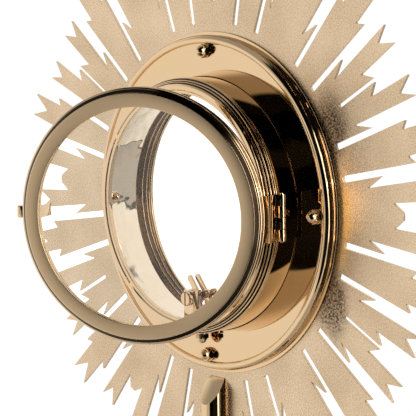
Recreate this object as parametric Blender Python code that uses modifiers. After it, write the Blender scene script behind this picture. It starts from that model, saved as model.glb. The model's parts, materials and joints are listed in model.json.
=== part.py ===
"""Sunburst monstrance with a round glazed case and a hinged rear door.

Metres, +Z up. The front faces -Y, the door is at the back (+Y) and its hinge is on the -X side.
The origin is the centre of the foot's underside. The head's pieces hang on an empty at the centre
of the case, on the rear face of the ray plate, so their local Y is the distance behind the plate.
"""

import math

import bmesh
import bpy
from mathutils import Matrix, Vector

# Fits
GAP = 0.0003            # between pieces that rest on or fit into each other
BOLT_SLACK = 0.0003     # round a bolt or stud in its hole
PIVOT_SLACK = 0.0003    # round the hinge pin and the clamp screw

# Stand
HEAD_HEIGHT = 0.515     # centre of the case above the floor
FOOT_RADIUS = 0.100
FOOT_HEIGHT = 0.048
FOOT_WALL = 0.0024
FELT_THICKNESS = 0.002
BASE_PLATE_THICKNESS = 0.0015
WEIGHT_MARGIN = 0.050   # from the weight's edge to the foot's
WEIGHT_RADIUS = FOOT_RADIUS - WEIGHT_MARGIN
WEIGHT_THICKNESS = 0.0084
TIE_ROD_RADIUS = 0.004
TIE_NUT_HEIGHT = 0.0053
TIE_NUT_WALL = 0.0035
TIE_NUT_RADIUS = TIE_ROD_RADIUS + TIE_NUT_WALL   # across corners
TIE_ROD_REACH = 0.030   # into the stem's socket piece
SPACER_WALL = 0.003
SPACER_RADIUS = TIE_ROD_RADIUS + SPACER_WALL
NUT_CLEARANCE = 0.0012  # between the base plate and the tie rod's nut
NECK_RADIUS = 0.015     # stem's foot, on the neck of the foot
STEM_WAIST = 0.008
COLLAR_HEIGHT = 0.006
KNOP_RADIUS = 0.027
KNOP_HEIGHT = 0.044
LOWER_STEM_HEIGHT = 0.092
ROD_RADIUS = 0.0082
ROD_FLAT = 0.0038       # depth of the flat where the rod lies on the plate
ROD_OFFSET = ROD_RADIUS - ROD_FLAT               # rod's axis behind the plate
SOCKET_WALL = 0.0043
SOCKET_RADIUS = ROD_RADIUS + SOCKET_WALL
SOCKET_HEIGHT = 0.066
SOCKET_DEPTH = 0.026    # how far the rear rod goes into its socket
COLLAR_LEDGE = 0.0055
COLLAR_RADIUS = SOCKET_RADIUS + COLLAR_LEDGE
MITRE_DROP = 0.0172     # how far the sawn end falls across the rod
SCREW_RADIUS = 0.002    # plate screws and socket screw
SCREW_HEAD_LEDGE = 0.0015
SCREW_HEAD_RADIUS = SCREW_RADIUS + SCREW_HEAD_LEDGE
SCREW_HEAD_HEIGHT = 0.0025

# Studs, washers and cap nuts
STUD_RADIUS = 0.0025
STUD_HOLE_DEPTH = 0.003  # into the bezel
NUT_WALL = 0.0015       # of metal round the stud, at the flats
NUT_FLATS = 2 * (STUD_RADIUS + NUT_WALL)
NUT_HEIGHT = 0.0066
WASHER_LEDGE = 0.0007
WASHER_RADIUS = NUT_FLATS / 2 + WASHER_LEDGE
WASHER_THICKNESS = 0.0006

# Case
CASE_RADIUS = 0.0833
CASE_WALL = 0.0015
CASE_LENGTH = 0.024     # drum's rear end behind the plate
LINER_SETBACK = 0.0067  # from the drum's outside to the liner's inside
LINER_RADIUS = CASE_RADIUS - LINER_SETBACK
LINER_WALL = 0.0014
LINER_FRONT = 0.0036
LINER_PROUD = 0.003     # liner's rear end behind the drum's
LINER_REAR = CASE_LENGTH + LINER_PROUD
MOUTH_RISE = 0.0076     # mouth ring's rear face behind the drum's rear end
MOUTH_HEIGHT = CASE_LENGTH + MOUTH_RISE
MOUTH_LEDGE = 0.003
MOUTH_RADIUS = LINER_RADIUS - MOUTH_LEDGE        # clear opening
MOUTH_TAPER = 0.0047
MOUTH_OUTER = CASE_RADIUS - MOUTH_TAPER
GLASS_THICKNESS = 0.002
FRONT_GLASS_SEAT = 0.008
FRONT_GLASS_LEDGE = 0.0026
FRONT_GLASS_RADIUS = LINER_RADIUS + FRONT_GLASS_LEDGE
GLASS_RING_THICKNESS = 0.002
BEZEL_NOSE = 0.001      # in front of the ring that holds the glass
BEZEL_DEPTH = FRONT_GLASS_SEAT + GLASS_THICKNESS + GLASS_RING_THICKNESS + 2 * GAP + BEZEL_NOSE
STUD_MARGIN = 0.012     # from the drum to a washer's edge
STUD_CIRCLE = CASE_RADIUS + STUD_MARGIN + WASHER_RADIUS
BEZEL_MARGIN = 0.0023   # from a washer's edge to the bezel's
BEZEL_RADIUS = STUD_CIRCLE + WASHER_RADIUS + BEZEL_MARGIN
FLANGE_MARGIN = 0.0057  # from a washer's edge to the flange's
FLANGE_RADIUS = STUD_CIRCLE + WASHER_RADIUS + FLANGE_MARGIN
FLANGE_FACE = 0.007     # polished face behind the plate
FLANGE_RIM_RISE = 0.0013
FLANGE_RIM = FLANGE_FACE + FLANGE_RIM_RISE       # top of the rounded rim
FLANGE_SHOULDER = 0.0036
FLANGE_LIP = 0.0014     # flat width on top of the rim
FLANGE_WALL = 0.0016
FLANGE_FOOT = 0.0014    # thin ring that stands on the plate outside the rim
FLANGE_FOOT_WIDTH = 0.002
FLANGE_FOOT_RADIUS = FLANGE_RADIUS + FLANGE_FOOT_WIDTH

# Ray plate: reaches of the outline's points beyond the slots' inner ends
PLATE_THICKNESS = 0.002
SLOT_MARGIN = 0.0058    # from the flange to the slots
SLOT_ROOT = FLANGE_FOOT_RADIUS + SLOT_MARGIN
TALL_TIP = SLOT_ROOT + 0.0853
TALL_VALLEY = SLOT_ROOT + 0.0698
SIDE_TIP = SLOT_ROOT + 0.0595
SIDE_NOTCH = SLOT_ROOT + 0.0551
FORK_TIP = SLOT_ROOT + 0.0728
FORK_VALLEY = SLOT_ROOT + 0.0611
INNER_TOOTH = SLOT_ROOT + 0.0468
INNER_NOTCH = SLOT_ROOT + 0.0393
LOW_TOOTH = SLOT_ROOT + 0.0320
LOW_NOTCH = SLOT_ROOT + 0.0193
SHORT_SLOT_ROOT = SLOT_ROOT + 0.0136
SLOT_WIDTH = 0.0042
SHORT_SLOT_WIDTH = 0.0026
TALL_RAYS = 12
TALL_RAY_DEG = 9.8      # between the slots on its two sides
STEM_RAY_DEG = 26.2     # the broad ray that the rod is screwed to
PAIR_DEG = (360 - STEM_RAY_DEG - TALL_RAYS * TALL_RAY_DEG) / (TALL_RAYS - 1)
ROD_MARGIN = 0.0042     # from the flange to the rod's highest point
ROD_TOP_DROP = FLANGE_FOOT_RADIUS + ROD_MARGIN
PLATE_SCREW_DROPS = (ROD_TOP_DROP + 0.0234, ROD_TOP_DROP + 0.0434)

# Door, given closed
DOOR_GAP = 0.0004       # between the door and the mouth
DOOR_DEPTH = 0.0143
DOOR_OVERLAP = 0.0074   # of the door's edge past the clear opening
DOOR_RADIUS = MOUTH_RADIUS + DOOR_OVERLAP
DOOR_WALL = 0.0084
DOOR_BORE = DOOR_RADIUS - DOOR_WALL
DOOR_BEVEL = 0.004
DOOR_FACE_OUTER = DOOR_RADIUS - DOOR_BEVEL
DOOR_GLASS_LEDGE = 0.0042
DOOR_FACE_INNER = DOOR_BORE - DOOR_GLASS_LEDGE
DOOR_LIP = 0.0018
DOOR_GLASS_RING = 0.0032
DOOR_OPEN_DEG = 26.9
TAB_LENGTH = 0.005
TAB_HEIGHT = 0.008
TAB_DEPTH = 0.004
TONGUE_THICKNESS = 0.0012
TONGUE_WIDTH = 0.008

# Hinge
PIN_RADIUS = 0.0012
KNUCKLE_WALL = 0.0013
KNUCKLE_RADIUS = PIN_RADIUS + KNUCKLE_WALL
KNUCKLES = 4
HINGE_LENGTH = 0.0294
HINGE_STANDOFF = 0.0016  # from the drum to the knuckles
HINGE_X = CASE_RADIUS + HINGE_STANDOFF + KNUCKLE_RADIUS  # axis, to the side of the case's centre
HINGE_BACKSET = 0.0005
HINGE_Y = CASE_LENGTH + HINGE_BACKSET            # axis behind the plate
LEAF_THICKNESS = 0.0013

# Catch
CATCH_INSET = 0.0043    # from the catch's axis to the liner's rear end
CATCH_Y = LINER_REAR - CATCH_INSET
PLUNGER_RADIUS = 0.002
CATCH_WALL = 0.0017
CATCH_RADIUS = PLUNGER_RADIUS + PIVOT_SLACK + CATCH_WALL
PLUNGER_TAIL = 0.0009
SPRING_WIRE = 0.00025
SPRING_RADIUS = PLUNGER_RADIUS - 0.00045
SPRING_TURNS = 2

# Host clip
CLAMP_SCREW_RADIUS = 0.002
CLAMP_HEAD_LEDGE = 0.00285
CLAMP_HEAD_RADIUS = CLAMP_SCREW_RADIUS + CLAMP_HEAD_LEDGE
CLAMP_HEAD_HEIGHT = 0.0028
CLIP_AXIS_RISE = 0.016  # clamp screw's axis above the liner's floor
CLIP_AXIS_DROP = LINER_RADIUS - CLIP_AXIS_RISE   # below the centre of the case
CLIP_WIDTH = 0.009
CLIP_BASE_THICKNESS = 0.0026
CLIP_INSET = 0.0025     # from the clip's block to the liner's rear end
CLIP_REAR = LINER_REAR - CLIP_INSET
CLIP_BLOCK_LENGTH = 0.007
CLIP_BLOCK_RISE = 0.0053  # block's top above the clamp screw's axis
CLIP_BOLT_HEAD_LEDGE = 0.0015
CLIP_BOLT_HEAD_RADIUS = STUD_RADIUS + CLIP_BOLT_HEAD_LEDGE
CLIP_BOLT_HEAD_HEIGHT = 0.0022
CLIP_BOLT_MARGIN = 0.0001  # beyond the usual gap, between the bolt's head and the block
CLIP_BOLT_Y = CLIP_REAR - CLIP_BLOCK_LENGTH - CLIP_BOLT_MARGIN - CLIP_BOLT_HEAD_RADIUS
CLIP_NOSE = 0.0004      # of the base in front of the bolt's head
CLIP_FRONT = CLIP_BOLT_Y - CLIP_BOLT_HEAD_RADIUS - CLIP_NOSE
JAW_THICKNESS = 0.0014
JAW_HALF_WIDTH = 0.0021
JAW_BOSS_WALL = 0.0019
JAW_BOSS_RADIUS = CLAMP_SCREW_RADIUS + PIVOT_SLACK + JAW_BOSS_WALL
LONG_ARM = (52.0, 0.0165)   # direction and length, seen from the front
SHORT_ARM = (153.0, 0.0102)
JAW_OPENING = 0.0052    # from the clip's front to the moving jaw
MOVING_JAW_Y = CLIP_FRONT + JAW_OPENING
SADDLE_THICKNESS = 0.0016

# Facets of the round pieces
LARGE_STEPS = 40
STEM_STEPS = 20
SMALL_STEPS = 12
SHOULDER_STEPS = 4

HEAD_Y = -ROD_OFFSET
DOOR_BACK = MOUTH_HEIGHT + DOOR_GAP
DOOR_FACE = DOOR_BACK + DOOR_DEPTH
DOOR_CENTRE = (HINGE_X, -HINGE_Y, 0)


def clear_scene():
    for obj in list(bpy.data.objects):
        bpy.data.objects.remove(obj, do_unlink=True)


def collection(name):
    made = bpy.data.collections.new(name)
    bpy.context.scene.collection.children.link(made)
    return made


def material(name, color, roughness, metallic, transmission=0.0):
    made = bpy.data.materials.new(name)
    made.use_nodes = True
    shader = made.node_tree.nodes["Principled BSDF"]
    shader.inputs["Base Color"].default_value = (*color, 1.0)
    shader.inputs["Roughness"].default_value = roughness
    shader.inputs["Metallic"].default_value = metallic
    shader.inputs["Transmission Weight"].default_value = transmission
    return made


def link(obj, finish, parent=None, group=None):
    (group or PARTS).objects.link(obj)
    obj.parent = parent
    if finish:
        obj.data.materials.append(finish)
    return obj


def guide(obj):
    """Hide a cutter from the build."""
    obj.hide_render = True
    obj.display_type = "WIRE"
    return obj


def empty(name, at, parent=None, turn=(0, 0, 0)):
    made = bpy.data.objects.new(name, None)
    PARTS.objects.link(made)
    made.parent = parent
    made.location = at
    made.rotation_euler = turn
    return made


def signed_area(points):
    pairs = zip(points, points[1:] + points[:1])
    return sum(a[0] * b[1] - b[0] * a[1] for a, b in pairs) / 2


def turned(name, profile, finish, parent=None, axis="Z", at=(0, 0, 0), steps=LARGE_STEPS, group=None):
    """Turn a closed (radius, height) profile about Z, or about Y for the head's pieces."""
    points = list(profile)
    if signed_area(points) > 0:
        points.reverse()
    on_axis = [i for i, p in enumerate(points) if p[0] == 0]
    mesh = bpy.data.meshes.new(name)
    if on_axis:
        first = next(i for i in on_axis if points[(i + 1) % len(points)][0] > 0)
        points = points[first:] + points[:first]
        edges = [(i, i + 1) for i in range(len(points) - 1)]
    else:
        edges = [(i, (i + 1) % len(points)) for i in range(len(points))]
    mesh.from_pydata([(r, 0, h) for r, h in points], edges, [])
    obj = link(bpy.data.objects.new(name, mesh), finish, parent, group)
    screw = obj.modifiers.new("turn", "SCREW")
    screw.steps = steps
    screw.render_steps = steps
    screw.use_merge_vertices = True
    screw.merge_threshold = 0.00001
    obj.location = at
    if axis == "Y":
        obj.rotation_euler = (-math.pi / 2, 0, 0)
    return obj


def tube(inner, outer, low, high):
    return [(inner, low), (outer, low), (outer, high), (inner, high)]


def primitive(name, finish, make, parent=None, at=(0, 0, 0), turn=(0, 0, 0), group=None):
    mesh = bpy.data.meshes.new(name)
    bm = bmesh.new()
    make(bm)
    bm.to_mesh(mesh)
    bm.free()
    obj = link(bpy.data.objects.new(name, mesh), finish, parent, group)
    obj.location = at
    obj.rotation_euler = turn
    return obj


def box(name, finish, low, high, parent=None, group=None, turn=(0, 0, 0), at=None):
    """A box between two corners; with at=, the corners are measured from that point."""
    size = [high[i] - low[i] for i in range(3)]
    middle = [(high[i] + low[i]) / 2 for i in range(3)]

    def make(bm):
        bmesh.ops.create_cube(bm, size=1)
        bmesh.ops.scale(bm, vec=size, verts=bm.verts)
        bmesh.ops.translate(bm, vec=middle, verts=bm.verts)
    return primitive(name, finish, make, parent, at or (0, 0, 0), turn, group)


AXIS_TURN = {"X": Matrix.Rotation(math.pi / 2, 3, "Y"), "Y": Matrix.Rotation(-math.pi / 2, 3, "X"),
             "Z": Matrix.Identity(3)}


def rod(name, finish, radius, low, high, axis="Z", at=(0, 0, 0), parent=None, group=None,
        steps=SMALL_STEPS):
    """A cylinder from low to high along an axis through at."""
    def make(bm):
        bmesh.ops.create_cone(bm, segments=steps, radius1=radius, radius2=radius,
                              depth=high - low, cap_ends=True)
        bmesh.ops.translate(bm, vec=(0, 0, (low + high) / 2), verts=bm.verts)
        bmesh.ops.rotate(bm, cent=(0, 0, 0), matrix=AXIS_TURN[axis], verts=bm.verts)
    return primitive(name, finish, make, parent, at, (0, 0, 0), group)


def boolean(obj, other, operation="DIFFERENCE"):
    step = obj.modifiers.new(f"{operation.lower()}_{other.name}", "BOOLEAN")
    step.operation = operation
    step.object = other
    step.solver = "EXACT"
    return obj


def cut_rod(obj, name, *args, **kwargs):
    return boolean(obj, guide(rod(name, None, *args, group=CUTTERS, parent=obj.parent, **kwargs)))


def cut_box(obj, name, low, high, **kwargs):
    return boolean(obj, guide(box(name, None, low, high, parent=obj.parent, group=CUTTERS, **kwargs)))


def add_box(obj, name, low, high):
    extra = guide(box(name, None, low, high, parent=obj.parent, group=CUTTERS))
    return boolean(obj, extra, "UNION")


def circle(radius, steps, centre=(0, 0)):
    turns = [2 * math.pi * i / steps for i in range(steps)]
    return [(centre[0] + radius * math.cos(a), centre[1] + radius * math.sin(a)) for a in turns]


def flat(name, finish, outlines, y_low, y_high, parent):
    """Flat outlines in the XZ plane, given as (x, z) points, filled from y_low to y_high."""
    curve = bpy.data.curves.new(name, "CURVE")
    curve.dimensions = "2D"
    curve.fill_mode = "BOTH"
    curve.extrude = (y_high - y_low) / 2
    for outline in outlines:
        spline = curve.splines.new("POLY")
        spline.points.add(len(outline) - 1)
        for point, (x, z) in zip(spline.points, outline):
            point.co = (x, z, 0, 1)
        spline.use_cyclic_u = True
    obj = link(bpy.data.objects.new(name, curve), finish, parent)
    obj.location = (0, (y_low + y_high) / 2, 0)
    obj.rotation_euler = (math.pi / 2, 0, 0)
    weld = obj.modifiers.new("weld", "WELD")
    weld.merge_threshold = 0.00001
    return obj


def smooth_all():
    for obj in PARTS.objects:
        if obj.type == "MESH":
            obj.data.shade_smooth()
            obj.data.set_sharp_from_angle(angle=math.radians(35))


# Stand ------------------------------------------------------------------------------------------

def stand_levels():
    """Heights of the stand's joints, from the floor up."""
    base = FELT_THICKNESS + GAP
    stem = FOOT_HEIGHT + GAP
    lower_collar = stem + LOWER_STEM_HEIGHT
    knop = lower_collar + COLLAR_HEIGHT + GAP
    upper_collar = knop + KNOP_HEIGHT + GAP
    socket = upper_collar + COLLAR_HEIGHT + GAP
    return {"base": base, "stem": stem, "lower_collar": lower_collar, "knop": knop,
            "upper_collar": upper_collar, "socket": socket, "top": socket + SOCKET_HEIGHT}


def foot(levels):
    base = levels["base"]
    neck = NECK_RADIUS
    bore = TIE_ROD_RADIUS + BOLT_SLACK
    rim = FOOT_RADIUS - FOOT_WALL * 0.7
    rise = FOOT_HEIGHT - base
    shares = [(0.97, 0.135), (0.90, 0.19), (0.70, 0.32), (0.45, 0.48), (0.26, 0.69), (0.17, 0.91)]
    outer = [(FOOT_RADIUS * r, base + rise * h) for r, h in shares]
    inner = [(r - FOOT_WALL * 0.5, h - FOOT_WALL) for r, h in reversed(outer)]
    profile = [(FOOT_RADIUS, base), (FOOT_RADIUS, base + 0.0036)] + outer
    profile += [(neck, FOOT_HEIGHT), (bore, FOOT_HEIGHT), (bore, inner[0][1])]
    profile += inner + [(rim, base + BASE_PLATE_THICKNESS + GAP), (rim, base)]
    turned("foot_shell", profile, GOLD, steps=LARGE_STEPS)
    turned("felt_pad", [(0, 0), (FOOT_RADIUS - 0.0005, 0), (FOOT_RADIUS - 0.0005, FELT_THICKNESS),
                        (0, FELT_THICKNESS)], FELT)
    plate_top = base + BASE_PLATE_THICKNESS
    turned("base_plate", [(0, base), (rim - GAP, base), (rim - GAP, plate_top), (0, plate_top)], BRASS)
    nut_low = plate_top + NUT_CLEARANCE
    weight_low = nut_low + TIE_NUT_HEIGHT + GAP
    weight_high = weight_low + WEIGHT_THICKNESS
    turned("foot_weight", tube(bore, WEIGHT_RADIUS, weight_low, weight_high), IRON, steps=STEM_STEPS)
    turned("foot_spacer", tube(bore, SPACER_RADIUS, weight_high + GAP, inner[0][1] - GAP), BRASS,
           steps=SMALL_STEPS)
    nut = rod("tie_rod_nut", STEEL, TIE_NUT_RADIUS, nut_low, nut_low + TIE_NUT_HEIGHT, steps=6)
    cut_rod(nut, "cut_tie_nut", bore, 0, FOOT_HEIGHT)
    rod("tie_rod", STEEL, TIE_ROD_RADIUS, nut_low, levels["socket"] + TIE_ROD_REACH)


def stem(levels):
    bore = TIE_ROD_RADIUS + BOLT_SLACK
    low, high = levels["stem"], levels["lower_collar"] - GAP
    span = high - low
    column = [(bore, low), (NECK_RADIUS, low), (NECK_RADIUS, low + 0.003),
              (NECK_RADIUS * 0.73, low + 0.008), (STEM_WAIST * 1.06, low + span * 0.3),
              (STEM_WAIST, low + span * 0.56), (STEM_WAIST * 1.13, low + span * 0.84),
              (STEM_WAIST * 1.5, high - 0.004), (STEM_WAIST * 1.5, high), (bore, high)]
    turned("stem_lower", column, GOLD, steps=STEM_STEPS)
    for name in ("lower_collar", "upper_collar"):
        z = levels[name]
        edge = COLLAR_RADIUS - COLLAR_HEIGHT * 0.25
        ring = [(bore, z), (edge, z), (COLLAR_RADIUS, z + COLLAR_HEIGHT * 0.3),
                (COLLAR_RADIUS, z + COLLAR_HEIGHT * 0.7), (edge, z + COLLAR_HEIGHT),
                (bore, z + COLLAR_HEIGHT)]
        turned("knop_" + name, ring, GOLD, steps=STEM_STEPS)
    z = levels["knop"]
    belly = [(0.46, 0), (0.78, 0.12), (0.96, 0.30), (1.0, 0.5), (0.96, 0.70), (0.78, 0.88), (0.46, 1)]
    ball = [(KNOP_RADIUS * r, z + KNOP_HEIGHT * h) for r, h in belly]
    turned("knop", [(bore, z)] + ball + [(bore, z + KNOP_HEIGHT)], GOLD, steps=32)


def socket(levels):
    """The upper stem, bored from the top for the rear rod."""
    low, high = levels["socket"], levels["top"]
    bore = TIE_ROD_RADIUS + BOLT_SLACK
    seat = ROD_RADIUS + BOLT_SLACK
    floor = high - SOCKET_DEPTH
    profile = [(bore, low), (SOCKET_RADIUS * 0.96, low), (SOCKET_RADIUS * 0.96, low + 0.004),
               (SOCKET_RADIUS * 0.77, low + 0.010), (SOCKET_RADIUS * 0.92, floor - 0.004),
               (SOCKET_RADIUS, floor + 0.002), (SOCKET_RADIUS, high - 0.002),
               (SOCKET_RADIUS - 0.0015, high), (seat, high), (seat, floor), (bore, floor)]
    holder = turned("stem_socket", profile, GOLD, steps=STEM_STEPS)
    screw_height = high - SOCKET_DEPTH / 2
    cut_rod(holder, "cut_socket_screw", SCREW_RADIUS + BOLT_SLACK, 0, SOCKET_RADIUS * 1.5, axis="Y",
            at=(0, 0, screw_height))
    rod("socket_screw", STEEL, SCREW_RADIUS, seat, SOCKET_RADIUS + 0.0005, axis="Y",
        at=(0, 0, screw_height))
    return floor + GAP


def rear_rod(bottom):
    """The round rod behind the rays, flatted against the plate and sawn off at a slant."""
    top = HEAD_HEIGHT - ROD_TOP_DROP
    flat_y = HEAD_Y + GAP
    post = rod("stem_rod", GOLD, ROD_RADIUS, bottom, top, steps=STEM_STEPS)
    reach = 4 * ROD_RADIUS
    flat_low = HEAD_HEIGHT - FORK_TIP - 0.004
    cut_box(post, "cut_rod_flat", (-reach, -reach, flat_low), (reach, flat_y, top + reach))
    across = ROD_OFFSET + ROD_RADIUS - GAP
    slant = math.atan2(MITRE_DROP, across)
    cut_box(post, "cut_rod_mitre", (-reach, -reach, 0), (reach, 2 * reach, reach),
            at=(0, flat_y, top), turn=(-slant, 0, 0))
    for name, drop in zip(("upper", "lower"), PLATE_SCREW_DROPS):
        at = (0, HEAD_Y, HEAD_HEIGHT - drop)
        cut_rod(post, "cut_rod_screw_" + name, SCREW_RADIUS + BOLT_SLACK, -reach, 0.008, axis="Y", at=at)
        face = -PLATE_THICKNESS - GAP
        head = [(0, face - SCREW_HEAD_HEIGHT), (SCREW_HEAD_RADIUS * 0.7, face - SCREW_HEAD_HEIGHT),
                (SCREW_HEAD_RADIUS, face - SCREW_HEAD_HEIGHT * 0.5), (SCREW_HEAD_RADIUS, face),
                (SCREW_RADIUS, face), (SCREW_RADIUS, 0.0075), (0, 0.0075)]
        turned("plate_screw_" + name, head, STEEL, axis="Y", at=at, steps=SMALL_STEPS)


# Ray plate --------------------------------------------------------------------------------------

def polar(angle_deg, radius):
    """A point of the head's XZ plane, by its angle from straight down."""
    a = math.radians(angle_deg)
    return (radius * math.sin(a), -radius * math.cos(a))


def slot_sides(angle_deg, radius, root, width):
    """The four points of a parallel slot: its side edges at the given radii, and its root."""
    start, end = radius
    half = width / 2
    points = []
    for side, r in ((-1, start), (-1, root), (1, root), (1, end)):
        points.append(polar(angle_deg + side * math.degrees(math.asin(half / r)), r))
    return points


def tall_ray(centre):
    """Two tall prongs with a small tip on each side."""
    half = [(-2.65, SIDE_NOTCH), (-2.2, TALL_TIP)]
    left = [polar(centre + a, r) for a, r in half]
    right = [polar(centre - a, r) for a, r in reversed(half)]
    return left + [polar(centre, TALL_VALLEY)] + right


def forked_pair(centre, half_deg, split):
    """Two forked rays between a pair of slots, with a slot or a broad tooth between them."""
    outer = half_deg - PAIR_DEG / 2
    side = [(outer + 6.6, LOW_NOTCH), (outer + 7.2, FORK_TIP), (outer + 5.4, FORK_VALLEY),
            (outer + 3.2, FORK_TIP), (outer + 2.8, INNER_NOTCH)]
    left = [polar(centre - a, r) for a, r in side]
    right = [polar(centre + a, r) for a, r in reversed(side)]
    if split:
        middle = slot_sides(centre, (INNER_TOOTH, INNER_TOOTH), SHORT_SLOT_ROOT, SHORT_SLOT_WIDTH)
    else:
        crown = outer + 0.8
        middle = [polar(centre - crown, INNER_TOOTH), polar(centre + crown, INNER_TOOTH)]
    return left + middle + right


def ray_outline():
    """The plate's outline, ray by ray, from the stem's ray round to it again."""
    points = forked_pair(0, STEM_RAY_DEG / 2, False)
    angle = STEM_RAY_DEG / 2
    for k in range(TALL_RAYS):
        points += slot_sides(angle, (LOW_TOOTH, SIDE_TIP), SLOT_ROOT, SLOT_WIDTH)
        points += tall_ray(angle + TALL_RAY_DEG / 2)
        angle += TALL_RAY_DEG
        points += slot_sides(angle, (SIDE_TIP, LOW_TOOTH), SLOT_ROOT, SLOT_WIDTH)
        if k < TALL_RAYS - 1:
            points += forked_pair(angle + PAIR_DEG / 2, PAIR_DEG / 2, k % 2 == 1)
            angle += PAIR_DEG
    return points


def ray_plate():
    outlines = [ray_outline(), circle(CASE_RADIUS + GAP, LARGE_STEPS)]
    for x, z in stud_places().values():
        outlines.append(circle(STUD_RADIUS + BOLT_SLACK, SMALL_STEPS, (x, z)))
    for drop in PLATE_SCREW_DROPS:
        outlines.append(circle(SCREW_RADIUS + BOLT_SLACK, SMALL_STEPS, (0, -drop)))
    flat("ray_plate", SATIN, outlines, -PLATE_THICKNESS, 0, HEAD)


# Case -------------------------------------------------------------------------------------------

def stud_places():
    return {"top": (0, STUD_CIRCLE), "hinge_side": (-STUD_CIRCLE, 0), "bottom": (0, -STUD_CIRCLE),
            "catch_side": (STUD_CIRCLE, 0)}


def drill_for_studs(obj, low, high):
    for name, (x, z) in stud_places().items():
        cut_rod(obj, f"cut_{obj.name}_{name}", STUD_RADIUS + BOLT_SLACK, low, high, axis="Y",
                at=(x, 0, z))


def rear_flange():
    rim, face, inside = FLANGE_RIM, FLANGE_FACE, FLANGE_FACE - FLANGE_WALL
    lip_outer = FLANGE_RADIUS - FLANGE_SHOULDER
    lip_inner = lip_outer - FLANGE_LIP
    profile = [(FLANGE_FOOT_RADIUS, GAP), (FLANGE_FOOT_RADIUS, FLANGE_FOOT),
               (FLANGE_RADIUS, FLANGE_FOOT)]
    for step in range(SHOULDER_STEPS + 1):
        angle = math.pi / 2 * (1 - step / SHOULDER_STEPS)
        profile.append((lip_outer + FLANGE_SHOULDER * math.sin(angle),
                        rim - FLANGE_SHOULDER * (1 - math.cos(angle))))
    profile += [(lip_inner, rim), (lip_inner - (rim - face) / 2, face),
                (CASE_RADIUS + GAP, face), (CASE_RADIUS + GAP, inside), (lip_outer - 0.001, inside),
                (lip_outer + 0.001, inside - 0.001), (FLANGE_RADIUS - FLANGE_WALL, GAP)]
    flange = turned("rear_flange", profile, GOLD, HEAD, "Y")
    drill_for_studs(flange, 0, 2 * FLANGE_RIM)


def front_bezel():
    seat = -FRONT_GLASS_SEAT
    back = -PLATE_THICKNESS - GAP
    recess = FRONT_GLASS_RADIUS + GAP
    spigot = CASE_RADIUS - CASE_WALL - GAP
    profile = [(LINER_RADIUS, LINER_FRONT - GAP), (LINER_RADIUS, seat), (recess, seat),
               (recess, -BEZEL_DEPTH + 0.0006), (recess + 0.002, -BEZEL_DEPTH),
               (recess + 0.0065, -BEZEL_DEPTH + 0.0021), (recess + 0.0085, back - 0.0052),
               (BEZEL_RADIUS - 0.002, back - 0.0037), (BEZEL_RADIUS, back - 0.0025),
               (BEZEL_RADIUS, back), (spigot, back), (spigot, LINER_FRONT - GAP)]
    bezel = turned("front_bezel", profile, GOLD, HEAD, "Y")
    drill_for_studs(bezel, back - STUD_HOLE_DEPTH, 0)
    glass_front = seat - GAP - GLASS_THICKNESS
    turned("front_glass", [(0, seat - GAP), (FRONT_GLASS_RADIUS, seat - GAP),
                           (FRONT_GLASS_RADIUS, glass_front), (0, glass_front)], GLASS, HEAD, "Y")
    ring = tube(LINER_RADIUS, FRONT_GLASS_RADIUS, glass_front - GAP - GLASS_RING_THICKNESS,
                glass_front - GAP)
    turned("front_glass_ring", ring, GOLD, HEAD, "Y")


def case_walls():
    drum = turned("case_drum", tube(CASE_RADIUS - CASE_WALL, CASE_RADIUS, -PLATE_THICKNESS, CASE_LENGTH),
                  GOLD, HEAD, "Y")
    liner = turned("case_liner", tube(LINER_RADIUS, LINER_RADIUS + LINER_WALL, LINER_FRONT, LINER_REAR),
                   GOLD, HEAD, "Y")
    for wall in (drum, liner):
        cut_rod(wall, f"cut_{wall.name}_bolt", STUD_RADIUS + BOLT_SLACK, -2 * CASE_RADIUS, 0,
                at=(0, CLIP_BOLT_Y, 0))
    cut_rod(liner, "cut_liner_catch", CATCH_RADIUS + BOLT_SLACK, 0, CASE_RADIUS, axis="X",
            at=(0, CATCH_Y, 0))
    base, top = CASE_LENGTH + GAP, MOUTH_HEIGHT
    shelf = LINER_REAR + GAP
    sleeve = LINER_RADIUS + LINER_WALL + GAP
    profile = [(CASE_RADIUS, base), (CASE_RADIUS, base + 0.0009), (CASE_RADIUS - 0.0013, base + 0.0019),
               (CASE_RADIUS - 0.0031, base + 0.0031), (MOUTH_OUTER, top), (MOUTH_OUTER - 0.0026, top),
               (MOUTH_OUTER - 0.0032, top - 0.0008), (MOUTH_RADIUS, top - 0.0012), (MOUTH_RADIUS, shelf),
               (sleeve, shelf), (sleeve, base)]
    ring = turned("mouth_ring", profile, GOLD, HEAD, "Y")
    cut_rod(ring, "cut_mouth_catch", CATCH_RADIUS + BOLT_SLACK, 0, CASE_RADIUS - CASE_WALL, axis="X",
            at=(0, CATCH_Y, 0))


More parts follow.
